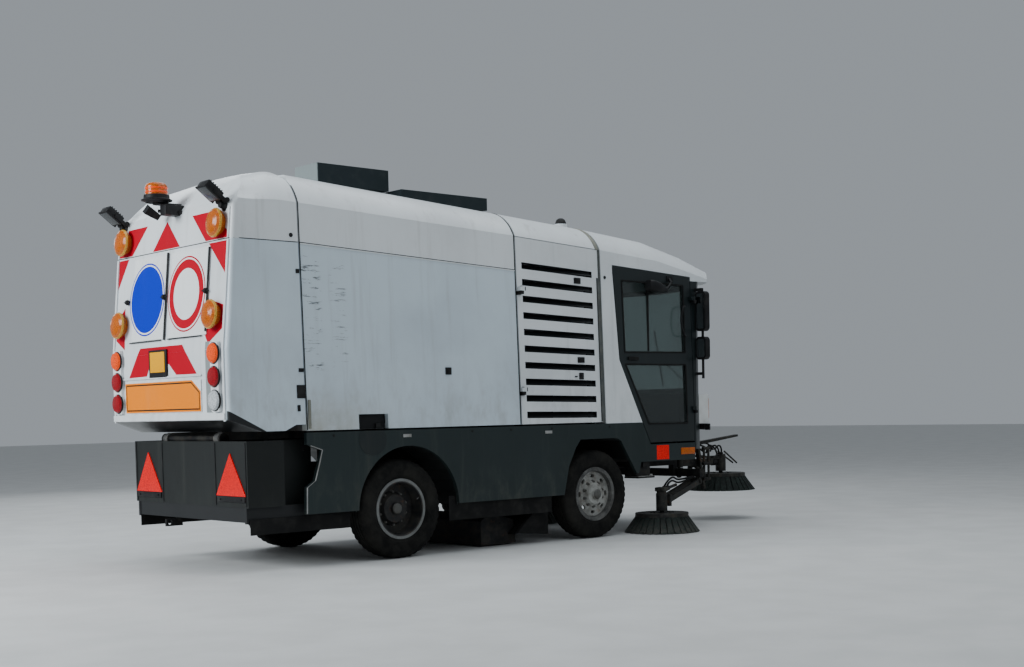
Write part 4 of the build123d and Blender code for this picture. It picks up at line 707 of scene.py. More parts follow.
def make_finishes(look):
    """Every finish, from its maker, short name, material name and the maker's values."""
    white, dark, grime = (tuple(colour) for colour in (look.body_white, look.lower_dark, look.grime))
    # The body white dimmed and turned bluer: painted shade on the hopper sides and the tailgate sides
    side_shaded_white = tuple(channel * film for channel, film in zip(white, (0.80, 0.88, 0.94)))
    amount = look.grime_amount
    road, dry, soot = (0.07, 0.065, 0.055), (0.06, 0.06, 0.05), (0.020, 0.020, 0.021)
    pale_ring = rim_shade(REAR_AXLE, (0.20, 0.205, 0.20), 0.228)
    dark_ring = rim_shade(FRONT_AXLE, (0.05,) * 3, 0.208)
    rows = (
        (weathered_paint, "white body", "white body paint", white, grime, amount, 0.36, 1.05, 1.9, 0.3),
        (weathered_paint, "white hopper", "scuffed hopper paint",
         side_shaded_white, grime, amount, 0.38, 1.05, 1.9, 0.3, 0.9),
        (weathered_paint, "white louvred", "louvred door paint",
         white, grime, amount * 0.8, 0.36, 1.05, 1.8, 0.3, 0.0, louvre_shade),
        (weathered_paint, "white face", "tailgate face paint",
         white, grime, amount, 0.36, 1.05, 1.9, 0.1, 0.0, under_shade),
        (weathered_paint, "white corner", "tailgate side paint",
         side_shaded_white, grime, amount, 0.36, 1.05, 1.9, 0.3, 0.0, torn_corner_shade),
        (weathered_paint, "white cab", "white cab paint", white, grime, amount * 0.7, 0.34, 1.0, 1.6, 0.3),
        (weathered_paint, "white marking", "white marking sheet",
         (0.80, 0.82, 0.83), grime, 0.3, 0.4, 1.1, 2.0, 0.1),
        (weathered_paint, "dark lower", "dark lower paint",
         dark, (0.085, 0.085, 0.07), 0.4, 0.5, 0.35, 0.95, 0.05, 0.0, skirt_inside_shade),
        (weathered_paint, "dark rear", "dark rear panel paint",
         (0.006, 0.008, 0.0075), (0.032, 0.033, 0.028), 0.45, 0.55, 0.3, 0.8, 0.05, 0.0, sill_shade),
        (weathered_paint, "dark cab", "dark cab paint", (0.009, 0.014, 0.015), dry, 0.2, 0.4, 0.6, 1.3, 0.15),
        (dark_metal, "inner grey", "hopper inner steel",
         (0.06, 0.06, 0.06), (0.2, 0.185, 0.16), 0.5, 0.6, 0.0, 0.4),
        (dark_metal, "frame black", "chassis black", (0.008, 0.008, 0.009), road, 0.5, 0.65, 0.0, 0.2),
        (dark_metal, "gear black", "brush gear steel",
         (0.012,) * 3, (0.09, 0.085, 0.07), 0.55, 0.55, 0.2, 0.3),
        (dark_metal, "cast", "oily castings", soot, (0.08, 0.07, 0.06), 0.5, 0.5, 0.4, 0.2),
        (dark_metal, "rim", "dark rim paint", soot, road, 0.6, 0.55, 0.1, 0.25, pale_ring),
        (dark_metal, "rim front", "pale rim paint",
         (0.25, 0.25, 0.235), (0.09, 0.08, 0.065), 0.75, 0.5, 0.1, 0.3, dark_ring),
        (dark_metal, "bright steel", "worn bright steel",
         (0.36, 0.36, 0.35), (0.16, 0.14, 0.11), 0.5, 0.35, 0.85, 0.3),
        (dark_metal, "dull nuts", "dusty wheel nuts",
         (0.10, 0.10, 0.095), (0.08, 0.07, 0.055), 0.6, 0.5, 0.5, 0.3),
        (dark_metal, "seam strip", "faded seam strip",
         (0.17, 0.17, 0.145), (0.26, 0.25, 0.20), 0.7, 0.7, 0.0, 0.0),
        (dark_metal, "grey strip", "grey edge strip",
         (0.06, 0.066, 0.066), (0.14, 0.14, 0.12), 0.6, 0.6, 0.0, 0.0),
        (moulded, "black plastic", "black moulding", (0.008, 0.008, 0.009), 0.5, 220.0, 0.15, 0.05),
        (moulded, "grey plastic", "grey lamp column", (0.22, 0.24, 0.24), 0.55, 150.0, 0.1, 0.35),
        (moulded, "roof housing", "dark roof housing",
         (0.012, 0.020, 0.023), 0.6, 150.0, 0.1, 0.03, 0.0, duct_shade),
        (moulded, "white plastic", "white lamp pod", (0.66, 0.67, 0.66), 0.3, 260.0, 0.05, 0.25, 0.3),
        (moulded, "rubber", "black rubber", (0.006, 0.006, 0.006), 0.7, 180.0, 0.25, 0.04),
        (moulded, "seat", "woven seat cloth", (0.03, 0.035, 0.04), 0.85, 420.0, 0.6, 0.1),
        (lens, "amber", "amber lens", (0.58, 0.12, 0.001), 0.03),
        (lens, "amber rim", "pale amber rim", (0.76, 0.40, 0.05), 0.0),
        (lens, "orange", "orange lamp lens", (1.0, 0.085, 0.001), 0.12),
        (lens, "red", "red lamp lens", (0.34, 0.001, 0.008), 0.03),
        (lens, "clear", "clear lamp lens", (0.62, 0.65, 0.67), 0.0),
        (lens, "lamp glass", "smoked lamp glass", (0.05, 0.055, 0.06), 0.0),
        # The reflector's glow is painted light, as the triangles and the red square are no lamps
        (lens, "reflector", "red triangle reflector", (0.85, 0.001, 0.0), 0.14),
        (foil, "red foil", "red marking sheet", (0.45, 0.0, 0.016), 0.03),
        (foil, "blue foil", "blue sign sheet", (0.0, 0.022, 0.46), 0.03),
        (foil, "white foil", "white sign sheet", (0.78, 0.80, 0.80), 0.2),
        (foil, "orange foil", "orange board sheet", (0.88, 0.23, 0.003), 0.12),
        (foil, "yellow foil", "yellow plate sheet", (0.80, 0.36, 0.003), 0.12),
        (mirror_face, "mirror glass", "mirror glass"),
        (tyre_rubber, "tyre", "road tyre rubber"),
        (cab_glass, "glass", "tinted cab glass"),
        (bristle_finish, "bristle", "brush bristles"),
    )
    for maker, key, *values in rows:
        FINISHES[key] = maker(*values)


NODE_FINISH = {
    "white body": "hopper_roof tailgate_cap engine_roof",
    "white face": "tailgate_face",
    "white hopper": "hopper_side_right hopper_side_left",
    "white louvred": "engine_door_right engine_door_left",
    "white corner": "tailgate_corners",
    "white cab": "cab_roof cab_back",
    "dark cab": "door_right door_left cab_front",
    "dark lower": "skirt_right skirt_left",
    "dark rear": "rear_lower_panel",
    "inner grey": "hopper_tub",
    "frame black": "chassis_frame engine_bay_hoops cab_floor cab_steps suction_mouth",
    "gear black": "front_boom front_arm brush_arm_right brush_arm_left "
    "brush_bracket_right brush_bracket_left",
    "cast": "engine_block front_axle rear_axle knuckle_right knuckle_left",
    "rim": "wheel_rear_right wheel_rear_left",
    "rim front": "wheel_front_right wheel_front_left",
    "tyre": "tyre_front_right tyre_front_left tyre_rear_right tyre_rear_left",
    "glass": "windscreen door_glass_right door_glass_left",
    "black plastic": "roof_lamps dashboard front_bumper mirrors",
    "roof housing": "roof_boxes",
    "white plastic": "headlamps",
    "white marking": "tail_lamps",
    "white foil": "blank_boards",
    "amber": "amber_flashers beacon",
    "seat": "seats",
    "grey strip": "cab_seal",
    "bristle": "side_brush_right side_brush_left front_brush",
}


def colour(name, description, default):
    """Setting that is a colour."""
    return FloatVectorProperty(name=name, description=description, default=default, subtype="COLOR")


def length(name, description, default):
    """Setting that is a length."""
    return FloatProperty(
        name=name, description=description, default=default, unit="LENGTH", subtype="DISTANCE"
    )


def number(name, description, default, low, high):
    """Setting that is a whole number."""
    return IntProperty(name=name, description=description, default=default, min=low, max=high)


class SweeperLook(PropertyGroup):
    """Colours of the vehicle."""

    body_white: colour("Body white", "Paint of the hopper and cab", (0.70, 0.73, 0.745))
    lower_dark: colour("Lower dark", "Paint of the lower bodywork", (0.013, 0.022, 0.0225))
    grime: colour("Grime", "Colour of run-down dirt", (0.27, 0.27, 0.25))
    grime_amount: FloatProperty(
        name="Grime amount", description="Strength of the dirt", default=0.42, min=0, max=1
    )


class SweeperSizes(PropertyGroup):
    """Sizes of the added pieces."""

    sign_radius: length("Sign radius", "Radius of the round signs", 0.302)
    nut_circle: length("Nut circle", "Radius of the wheel nut circle", 0.118)
    wheel_nuts: number("Wheel nuts", "Nuts on each wheel", 10, 5, 12)
    tread_steps: number("Tread steps", "Divisions round each tyre", 132, 60, 200)
    bristle_rows: number("Bristle rows", "Rings of bristles on a brush", 4, 1, 6)
    seed: IntProperty(name="Seed", description="Seed of the bristles' scatter", default=11, min=0)


def look():
    return bpy.context.scene.sweeper_look


def sizes():
    return bpy.context.scene.sweeper_sizes


class SWEEPER_OT_finishes(Operator):
    """Make the finishes and lay them on the CAD nodes"""

    bl_idname = "sweeper.finishes"
    bl_label = "Finishes"

    def execute(self, context):
        make_finishes(look())
        for finish, nodes in NODE_FINISH.items():
            for node in nodes.split():
                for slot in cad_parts[node].material_slots:
                    slot.material = FINISHES[finish]
        return {"FINISHED"}


class SWEEPER_OT_stage(Operator):
    """Pale floor, soft light and the camera at the photograph's place"""

    bl_idname = "sweeper.stage"
    bl_label = "Stage"

    def execute(self, context):
        bm = bmesh.new()
        bmesh.ops.create_grid(bm, x_segments=1, y_segments=1, size=FLOOR_HALF)
        mesh = bpy.data.meshes.new("floor")
        bm.to_mesh(mesh)
        bm.free()
        floor = bpy.data.objects.new("floor", mesh)
        context.scene.collection.objects.link(floor)
        g = Graph("pale studio floor")
        base = g.tint((0.60, 0.60, 0.59), (0.54, 0.54, 0.53), g.blotch(2.0, 5, 0.3, 0.7))
        mesh.materials.append(g.finish(base, 0.7))
        world = bpy.data.worlds.new("soft studio")
        world.use_nodes = True
        back = world.node_tree.nodes["Background"]
        back.inputs["Color"].default_value = SKY_COLOUR
        back.inputs["Strength"].default_value = SKY_STRENGTH
        context.scene.world = world
        for name, spot, target, size, power in LIGHTS:
            lamp = bpy.data.lights.new(name, "AREA")
            lamp.energy = power
            lamp.size = size
            lamp.color = LIGHT_COLOUR
            holder = bpy.data.objects.new(name, lamp)
            holder.matrix_world = basis(Vector(spot), Vector(spot) - Vector(target))
            context.scene.collection.objects.link(holder)
        right = Vector((math.cos(YAW), -math.sin(YAW), 0))
        level = Vector((math.sin(YAW), math.cos(YAW), 0))
        forward = level * math.cos(PITCH) + UP * math.sin(PITCH)
        upward = UP * math.cos(PITCH) - level * math.sin(PITCH)
        camera_right = right * math.cos(ROLL) + upward * math.sin(ROLL)
        camera_up = upward * math.cos(ROLL) - right * math.sin(ROLL)
        data = bpy.data.cameras.new("photo camera")
        data.sensor_fit = "HORIZONTAL"
        data.sensor_width = SENSOR_WIDTH
        data.lens = SENSOR_WIDTH * FOCAL_PX / PHOTO_WIDTH
        data.shift_x = (PHOTO_WIDTH / 2 - CENTRE_PX[0]) / PHOTO_WIDTH
        data.shift_y = (CENTRE_PX[1] - PHOTO_HEIGHT / 2) / PHOTO_WIDTH
        camera = bpy.data.objects.new("photo camera", data)
        turn = Matrix((camera_right, camera_up, -forward)).transposed().to_4x4()
        camera.matrix_world = Matrix.Translation(CAMERA_PLACE) @ turn
        context.scene.collection.objects.link(camera)
        context.scene.camera = camera
        return {"FINISHED"}


class SWEEPER_OT_tailgate_markings(Operator):
    """Red warning bands, blank round signs, the blank plate and the blank board's border"""

    bl_idname = "sweeper.tailgate_markings"
    bl_label = "Tailgate markings"

    def execute(self, context):
        bm = bmesh.new()
        for marks, normal in ((RED_MARKS, SLOPED), (LOWER_MARKS, UPRIGHT)):
            for mark in marks:
                face_plate(bm, mark, 0.0004, normal, 0.0008)
        piece("red_marking_bands", bm, "red foil", "tailgate")
        radius = sizes().sign_radius
        for colour, y, _ in SIGNS:
            place = basis(face_point(y, SIGN_Z, 0.0085), SLOPED)
            bm = bmesh.new()
            button(bm, place, ((radius, 0), (radius, 0.0012), (0, 0.0012)), 72)
            piece(f"sign_disc_{colour}", bm, f"{colour} foil", "tailgate")
            bm = bmesh.new()
            outer, inner = radius - 0.012, radius - 0.026
            turned(bm, place, ((outer, 0.0012), (outer, 0.0018), (inner, 0.0018), (inner, 0.0012)), 72)
            if colour == "red":
                inner = radius * 0.68
                turned(bm, place, ((0, 0.0012), (inner, 0.0012), (inner, 0.0018), (0, 0.0018)), 72)
            piece(f"sign_rings_{colour}", bm, "white foil", "tailgate")
        bm = bmesh.new()
        for y, low, high in ((0.022, 1.857, 2.564), (-0.648, 1.89, 2.545)):
            face_plate(bm, oblong(y + 0.012, y - 0.012, low, high), 0.0086, SLOPED, 0.006)
        for _, y, low in SIGNS:
            face_plate(bm, oblong(y + 0.28, y - 0.28, low, low + 0.008), 0.0086, SLOPED, 0.003)
        for y in (0.69, 0.045, -0.63):
            place = basis(face_point(y, SIGN_Z, 0.008), SLOPED)
            button(bm, place, ((0.022, 0), (0.024, 0.012), (0.016, 0.026), (0, 0.03)), 18)
            rod(bm, face_point(y + 0.05, 2.207, 0.02), face_point(y - 0.05, 2.203, 0.02), 0.006, 8)
        piece("sign_board_clips", bm, "black plastic", "tailgate", True)
        bm = bmesh.new()
        face_plate(bm, BOARD, 0.0084, UPRIGHT, 0.001)
        piece("orange_board_face", bm, "orange foil", "tailgate")
        bm = bmesh.new()
        for start, end in zip(BOARD_LINE, BOARD_LINE[1:] + BOARD_LINE[:1]):
            a, b = face_point(*start, 0.0095), face_point(*end, 0.0095)
            side = (b - a).normalized().cross(UPRIGHT) * 0.0055
            plate(bm, [a - side, b - side, b + side, a + side], UPRIGHT, 0.0006)
        piece("board_border", bm, "black plastic", "tailgate")
        seat = basis(face_point(0.115, 1.668, 0.001), UPRIGHT)
        holder, face = (0.30, 0.225, 0.014), (0.245, 0.165, 0.003)
        slab("plate_holder", (0, 0, 0.008), holder, seat, 0.004, "black plastic", "tailgate")
        slab("blank_number_plate", (0, 0.012, 0.0165), face, seat, 0.0012, "yellow foil", "tailgate")
        return {"FINISHED"}


def round_lamps():
    """Seat and lens colour of the six round lamps on the rear face."""
    for sign in (-1, 1):
        for z, colour in ((1.715, "orange"), (1.534, "red"), (1.352, "clear" if sign < 0 else "red")):
            yield basis(Vector((FACE_X - 0.0255, sign * LAMP_Y, z)), UPRIGHT), colour


class SWEEPER_OT_tailgate_trim(Operator):
    """Raised rim round the rear face, bottom lip, lamp column, flashers and lamps"""

    bl_idname = "sweeper.tailgate_trim"
    bl_label = "Tailgate trim"

    def execute(self, context):
        bm = bmesh.new()
        for sign in (-1, 1):
            for y, heights, width, depth in (
                (0.918, (1.19, 1.45, LEAN_START, 2.1, 2.5, 2.578), 0.026, 0.010),
                (0.912, (2.592, 2.7, 2.83), 0.018, 0.008),
            ):
                path = [face_point(sign * y, z, SKIN_GAP) for z in heights]
                band(bm, path, (0, 1, 0), width, (-1, 0, 0), depth)
        face_plate(bm, oblong(0.93, -0.93, 1.202, 1.252), SKIN_GAP, UPRIGHT, 0.018)
        face_plate(bm, oblong(0.74, -0.58, 1.548, 1.562), SKIN_GAP, UPRIGHT, 0.012)
        piece("face_rim", bm, "white cab", "tailgate")
        bm = bmesh.new()
        for low, high, normal in ((1.26, 1.749, UPRIGHT), (1.751, 1.81, SLOPED)):
            face_plate(bm, oblong(-0.64, -0.735, low, high), 0.0005, normal, 0.0012)
        piece("grey_lamp_column", bm, "grey plastic", "tailgate")
        dome = ((0.0775, 0), (0.0775, 0.012), (0.073, 0.018), (0.068, 0.0255), (0.05, 0.0285), (0, 0.0295))
        for finish in ("orange", "red", "clear"):
            bm = bmesh.new()
            for place, colour in round_lamps():
                if colour == finish:
                    turned(bm, place, dome, 40)
            piece(f"lamp_lenses_{finish}", bm, finish, "tailgate", True)
        bm = bmesh.new()
        for place, _ in round_lamps():
            turned(bm, place, ((0.0775, -0.004), (0.0835, -0.004), (0.0835, 0.008), (0.0775, 0.01)), 40)
        piece("lamp_seats", bm, "rubber", "tailgate", True)
        bm, rim_bm = bmesh.new(), bmesh.new()
        housing = (
            (0.068, 0), (0.068, 0.03), (0.083, 0.034), (0.1085, 0.0405),
            (0.1085, 0.036), (0.08, 0.028), (0.08, 0),
        )
        rim = ((0.1145, 0.050), (0.1145, 0.056), (0.107, 0.0675), (0.104, 0.0675), (0.1105, 0.054))
        along_face = Vector((LEAN_SLOPE, 0, 1)).normalized()
        for y, up in FLASHERS:
            place = basis(Vector((FACE_X, -y, LEAN_START)) + along_face * up, SLOPED)
            turned(bm, place, housing)
            turned(rim_bm, place, rim)
        piece("flasher_housings", bm, "amber", "tailgate", True)
        piece("flasher_rims", rim_bm, "amber rim", "tailgate", True)
        bm, glass_bm = bmesh.new(), bmesh.new()
        beacon = basis(at(-1.665, 0, BEACON_BASE), UP)
        seat = (
            (0, -0.042), (0.088, -0.042), (0.096, -0.034), (0.122, -0.028), (0.124, -0.020), (0.104, -0.010),
            (0.102, 0.018), (0.0925, 0.021), (0.0905, 0.021),
        )
        turned(bm, beacon, seat, 40)
        block(bm, at(-1.54, 0, BEACON_BASE - 0.049), (0.28, 0.09, 0.016), None, 0.003)
        block(bm, at(-1.575, -0.084, 2.89), (0.17, 0.096, 0.084), None, 0.008)
        rod(bm, at(-1.53, -0.125, 2.872), at(-1.53, -0.158, 2.872), 0.016)
        hood = tilted(at(-1.655, 0.100, 2.885), 28)
        rod(bm, hood @ Vector((-0.062, 0, 0)), hood @ Vector((0.062, 0, 0)), 0.052, 4, 0.034)
        rod(bm, at(-1.61, 0.09, 2.905), at(-1.50, 0.05, 2.905), 0.014)
        for y in (-WORK_LAMP_Y, WORK_LAMP_Y):
            head = tilted(at(-1.655, y, 2.945), 38)
            block(bm, (0, 0, 0.008), (0.160, 0.150, 0.062), head, 0.014)
            block(bm, (0.0, 0, -0.023), (0.168, 0.158, 0.012), head, 0.004)
            for fin in range(6):
                block(bm, (-0.055 + fin * 0.022, 0, 0.043), (0.006, 0.126, 0.012), head)
            block(glass_bm, (0.0, 0, -0.0305), (0.138, 0.128, 0.004), head, 0.001)
            for edge in (-0.083, 0.083):
                block(bm, (0.050, edge, -0.006), (0.110, 0.008, 0.030), head, 0.003)
            rod(bm, at(-1.548, y - 0.076, 2.880), at(-1.548, y + 0.076, 2.880), 0.020)
            boss = basis(face_point(y, 2.846, -0.004), SLOPED)
            button(bm, boss, ((0.044, 0), (0.044, 0.010), (0.030, 0.022), (0.026, 0.048), (0, 0.050)), 24)
        made = piece("roof_lamp_cluster", bm, "black plastic", "tailgate", True)
        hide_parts("roof_lamps")
        piece("work_lamp_glass", glass_bm, "lamp glass", "tailgate", True)
        bm = bmesh.new()
        for low in (0.032, 0.062):
            ring = ((0.0885, low), (0.0905, low + 0.004), (0.0905, low + 0.014), (0.0885, low + 0.018))
            turned(bm, beacon, ring, 40)
        piece("beacon_rings", bm, "orange", "tailgate", True)
        return {"FINISHED"}


class SWEEPER_OT_tailgate_crown(Operator):
    """Softer crown over the tailgate: the CAD cap with its rear edge and corners pressed round"""

    bl_idname = "sweeper.tailgate_crown"
    bl_label = "Tailgate crown"

    def execute(self, context):
        bm = bmesh.new()
        bm.from_mesh(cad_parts["tailgate_cap"].data)
        for _ in range(5):
            bmesh.ops.triangulate(bm, faces=bm.faces)
            long_edges = [edge for edge in bm.edges if edge.calc_length() > CROWN_EDGE]
            bmesh.ops.subdivide_edges(bm, edges=long_edges, cuts=1)
        bmesh.ops.triangulate(bm, faces=bm.faces)
        for vert in bm.verts:
            station = vert.co.x - REAR_AXLE
            rise = ease(vert.co.z, 2.84, 3.04)
            outer = ease(abs(vert.co.y), 0.45, 0.90)
            middle_drop = MIDDLE_DROP * (1 - 0.75 * outer) * ease(-station, 1.05, 1.30)
            corner_drop = CORNER_DROP * outer * ease(-station, 1.16, 1.42)
            vert.co.z -= rise * (middle_drop + corner_drop)
            vert.co.x += CORNER_PULL * rise * outer * ease(-station, 1.26, 1.45)
        made = piece("tailgate_crown", bm, "white body", "tailgate", True)
        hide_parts("tailgate_cap")
        return {"FINISHED"}


class SWEEPER_OT_body_fittings(Operator):
    """Latches, hinge blocks, black boxes, notches and plugs on the body sides; the notches are drawn as black
    blocks and plates, painted shade in their recesses
    """

    bl_idname = "sweeper.body_fittings"
    bl_label = "Body fittings"

    def execute(self, context):
        for side, sign in SIDES:
            bm = bmesh.new()
            for x, z, w, h in DOOR_LATCHES:
                place = Matrix.Translation(on_side(x, z, sign))
                block(bm, (0, sign * 0.004, 0), (w, 0.012, h), place, 0.004)
                block(bm, (0, sign * 0.012, 0.004), (w * 0.55, 0.008, h * 0.35), place, 0.003)
            block(bm, on_side(2.03, 1.53, sign, 0.004), (0.03, 0.01, 0.012), None, 0.003)
            for z in (1.4, 2.303):
                pin = basis(at(1.341, sign * 1.017, z + 0.0315), UP)
                button(bm, pin, ((0.0125, 0), (0.0125, 0.003), (0.008, 0.006), (0, 0.006)), 18)
                block(bm, at(1.375, sign * 1.008, z + 0.014), (0.050, 0.014, 0.036), None, 0.004)
            piece(f"engine_door_latches_{side}", bm, "black plastic", f"engine_hatch_{side}", True)
            bm = bmesh.new()
            block(bm, on_side(0.505, 1.577, sign, 0.004), (0.062, 0.014, 0.062), None, 0.004)
            ring = basis(on_side(0.505, 1.577, sign, 0.010), Vector((0, sign, 0)))
            turned(bm, ring, ((0.018, 0), (0.018, 0.006), (0.012, 0.008), (0, 0.006)), 20)
            # Black plate set back inside the notch: painted shade of the recess
            block(bm, at(-0.301, sign * 0.950, 1.161), (0.290, 0.004, 0.118))
            block(bm, at(-0.235, sign * 0.962, 1.125), (0.05, 0.02, 0.04), None, 0.004)
            piece(f"hopper_fittings_and_notch_shade_{side}", bm, "black plastic", "hopper", True)
            bm = bmesh.new()
            plug = basis(*side_spot("tailgate_cap", -1.025, 2.641, sign))
            turned(bm, plug, ((0.017, 0), (0.017, 0.005), (0.011, 0.008), (0, 0.008)), 20)
            # Black boxes, and black blocks at the notches as painted shade of their recesses
            for x, z, w, h in TAILGATE_BOXES:
                place = basis(*side_spot("tailgate_corners", x, z, sign))
                block(bm, (0, 0, 0.003), (w, h, 0.010), place, 0.003)
            piece(f"tailgate_side_fittings_and_notch_shade_{side}", bm, "black plastic", "tailgate", True)
            bm = bmesh.new()
            block(bm, on_side(-0.925, 1.23, sign, 0.004), (0.024, 0.014, 0.23), None, 0.004)
            for z in (1.145, 1.315):
                bolt(bm, on_side(-0.925, z, sign, 0.010), (0, sign, 0), 0.006, 0.006)
            piece(f"side_latch_plates_{side}", bm, "seam strip", "hopper", True)
        return {"FINISHED"}


class SWEEPER_OT_seam_strips(Operator):
    """Rubber strips, edge strips and the long lip where the body panels meet; the lip's white is a painted
    highlight on the seam's lower edge
    """

    bl_idname = "sweeper.seam_strips"
    bl_label = "Seam strips"

    def execute(self, context):
        for side, sign in SIDES:
            bm = bmesh.new()
            hoop(bm, TAILGATE_SEAM + 0.0045, TAILGATE_SEAM + 0.0125, sign, PANEL_FOOT, 3.075, 0.003)
            hoop(bm, ENGINE_SEAM - 0.0150, ENGINE_SEAM - 0.0070, sign, PANEL_FOOT, OVER_ROOF, 0.003)
            path = []
            for station in (TAILGATE_SEAM + 0.014, 0.2, ENGINE_SEAM - 0.016):
                path.append(on_side(station, 2.589 - 0.0455 * (station - TAILGATE_SEAM), sign, 0.0002))
            band(bm, path, UP, 0.006, (0, sign, 0), 0.0018)
            piece(f"hopper_seam_rubber_{side}", bm, "rubber", "hopper")
            bm = bmesh.new()
            # White lip under the long seam, brighter than the shaded side paint: a painted highlight on the
            # seam's lower edge
            band(bm, [point - UP * 0.0085 for point in path], UP, 0.009, (0, sign, 0), 0.005)
            piece(f"hopper_seam_highlight_lip_{side}", bm, "white cab", "hopper")
            bm = bmesh.new()
            path = []
            for station in (-1.535, -1.44, -1.3, -1.1, -0.962):
                spot, normal = side_spot("tailgate_cap", station, 2.592, sign)
                path.append(Vector((spot.x, spot.y, 2.589)) - normal * 0.0005)
            band(bm, path, UP, 0.006, (0, sign, 0), 0.002)
            across = [face_point(sign * y, 2.589, -0.0005) for y in (0.0, 0.3, 0.6, 0.930)]
            band(bm, across, UP, 0.006, (-1, 0, 0), 0.0025)
            piece(f"tailgate_seam_rubber_{side}", bm, "rubber", "tailgate")
            door = f"engine_hatch_{side}"
            for name, start, end, low, high, depth, finish, body in (
                ("roof_edge_strip", 0.050, 0.0065, 2.7265, OVER_ROOF, 0.004, "seam strip", "chassis"),
                ("door_edge_strip", 0.040, 0.0065, PANEL_FOOT, DOOR_TOP, 0.004, "grey strip", door),
                ("door_edge_rubber", 0.046, 0.0405, PANEL_FOOT, DOOR_TOP, 0.006, "rubber", door),
            ):
                bm = bmesh.new()
                hoop(bm, CAB_SEAM - start, CAB_SEAM - end, sign, low, high, depth)
                piece(f"{name}_{side}", bm, finish, body, True)
        return {"FINISHED"}


class SWEEPER_OT_tyres(Operator):
    """Road tyres with grooves and sipes over the plain CAD rings"""

    bl_idname = "sweeper.tyres"
    bl_label = "Tyres"

    def execute(self, context):
        steps = sizes().tread_steps
        profile = [(-y, r, cut) for y, r, cut in reversed(HALF_TREAD[1:])] + list(HALF_TREAD)
        for end, x in (("front", FRONT_AXLE), ("rear", REAR_AXLE)):
            for side, sign in SIDES:
                bm = bmesh.new()
                rows = []
                for step, (cosine, sine) in enumerate(circle(1.0, steps)):
                    ring = []
                    for across, radius, cut in profile:
                        phase = (step + (1 if across > 0 else 0)) % 3
                        reach = radius - (cut if phase == 0 else 0.0)
                        place = (x + reach * cosine, sign * WHEEL_Y + across, TYRE_RADIUS + reach * sine)
                        ring.append(bm.verts.new(place))
                    rows.append(ring)
                for near, far in zip(rows, rows[1:] + rows[:1]):
                    for index in range(-1, len(profile) - 1):
                        bm.faces.new((near[index], near[index + 1], far[index + 1], far[index]))
                made = piece(f"road_tyre_{end}_{side}", bm, "tyre", f"{end}_wheel_{side}", True)
                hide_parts(f"tyre_{end}_{side}")
        return {"FINISHED"}


class SWEEPER_OT_wheel_fittings(Operator):
    """Wheel nuts, hub caps and valves"""

    bl_idname = "sweeper.wheel_fittings"
    bl_label = "Wheel fittings"

    def execute(self, context):
        size = sizes()
        for end, x, face, nave, wider in (
            ("front", FRONT_AXLE, 0.0655, 0.131, 0.0),
            ("rear", REAR_AXLE, -0.034, 0.046, 0.022),
        ):
            for side, sign in SIDES:
                bm = bmesh.new()
                outward = Vector((0, sign, 0))
                for east, rise in circle(size.nut_circle + wider, size.wheel_nuts, 0.5):
                    spot = Vector((x + east, sign * (WHEEL_Y + face - 0.002), TYRE_RADIUS + rise))
                    place = basis(spot, outward)
                    button(bm, place, ((0.019, 0), (0.019, 0.004), (0.0155, 0.005), (0, 0.005)), 16)
                    nut = ((0, 0.004), (0.0145, 0.004), (0.0145, 0.020), (0.0115, 0.023), (0, 0.023))
                    turned(bm, place, nut, 6)
                    turned(bm, place, ((0, 0.02), (0.0085, 0.02), (0.0085, 0.032), (0, 0.033)), 10)
                hub = basis(Vector((x, sign * (WHEEL_Y + nave - 0.001), TYRE_RADIUS)), outward)
                cap = ((0.046, 0), (0.047, 0.004), (0.040, 0.012), (0.018, 0.017), (0, 0.018))
                button(bm, hub, cap, 32)
                valve = (x + 0.2, sign * (WHEEL_Y + 0.085), TYRE_RADIUS + 0.085)
                rod(bm, valve, (x + 0.17, sign * (WHEEL_Y + 0.10), TYRE_RADIUS + 0.072), 0.0045, 8)
                piece(f"wheel_nuts_{end}_{side}", bm, "dull nuts", f"{end}_wheel_{side}", True)
        return {"FINISHED"}


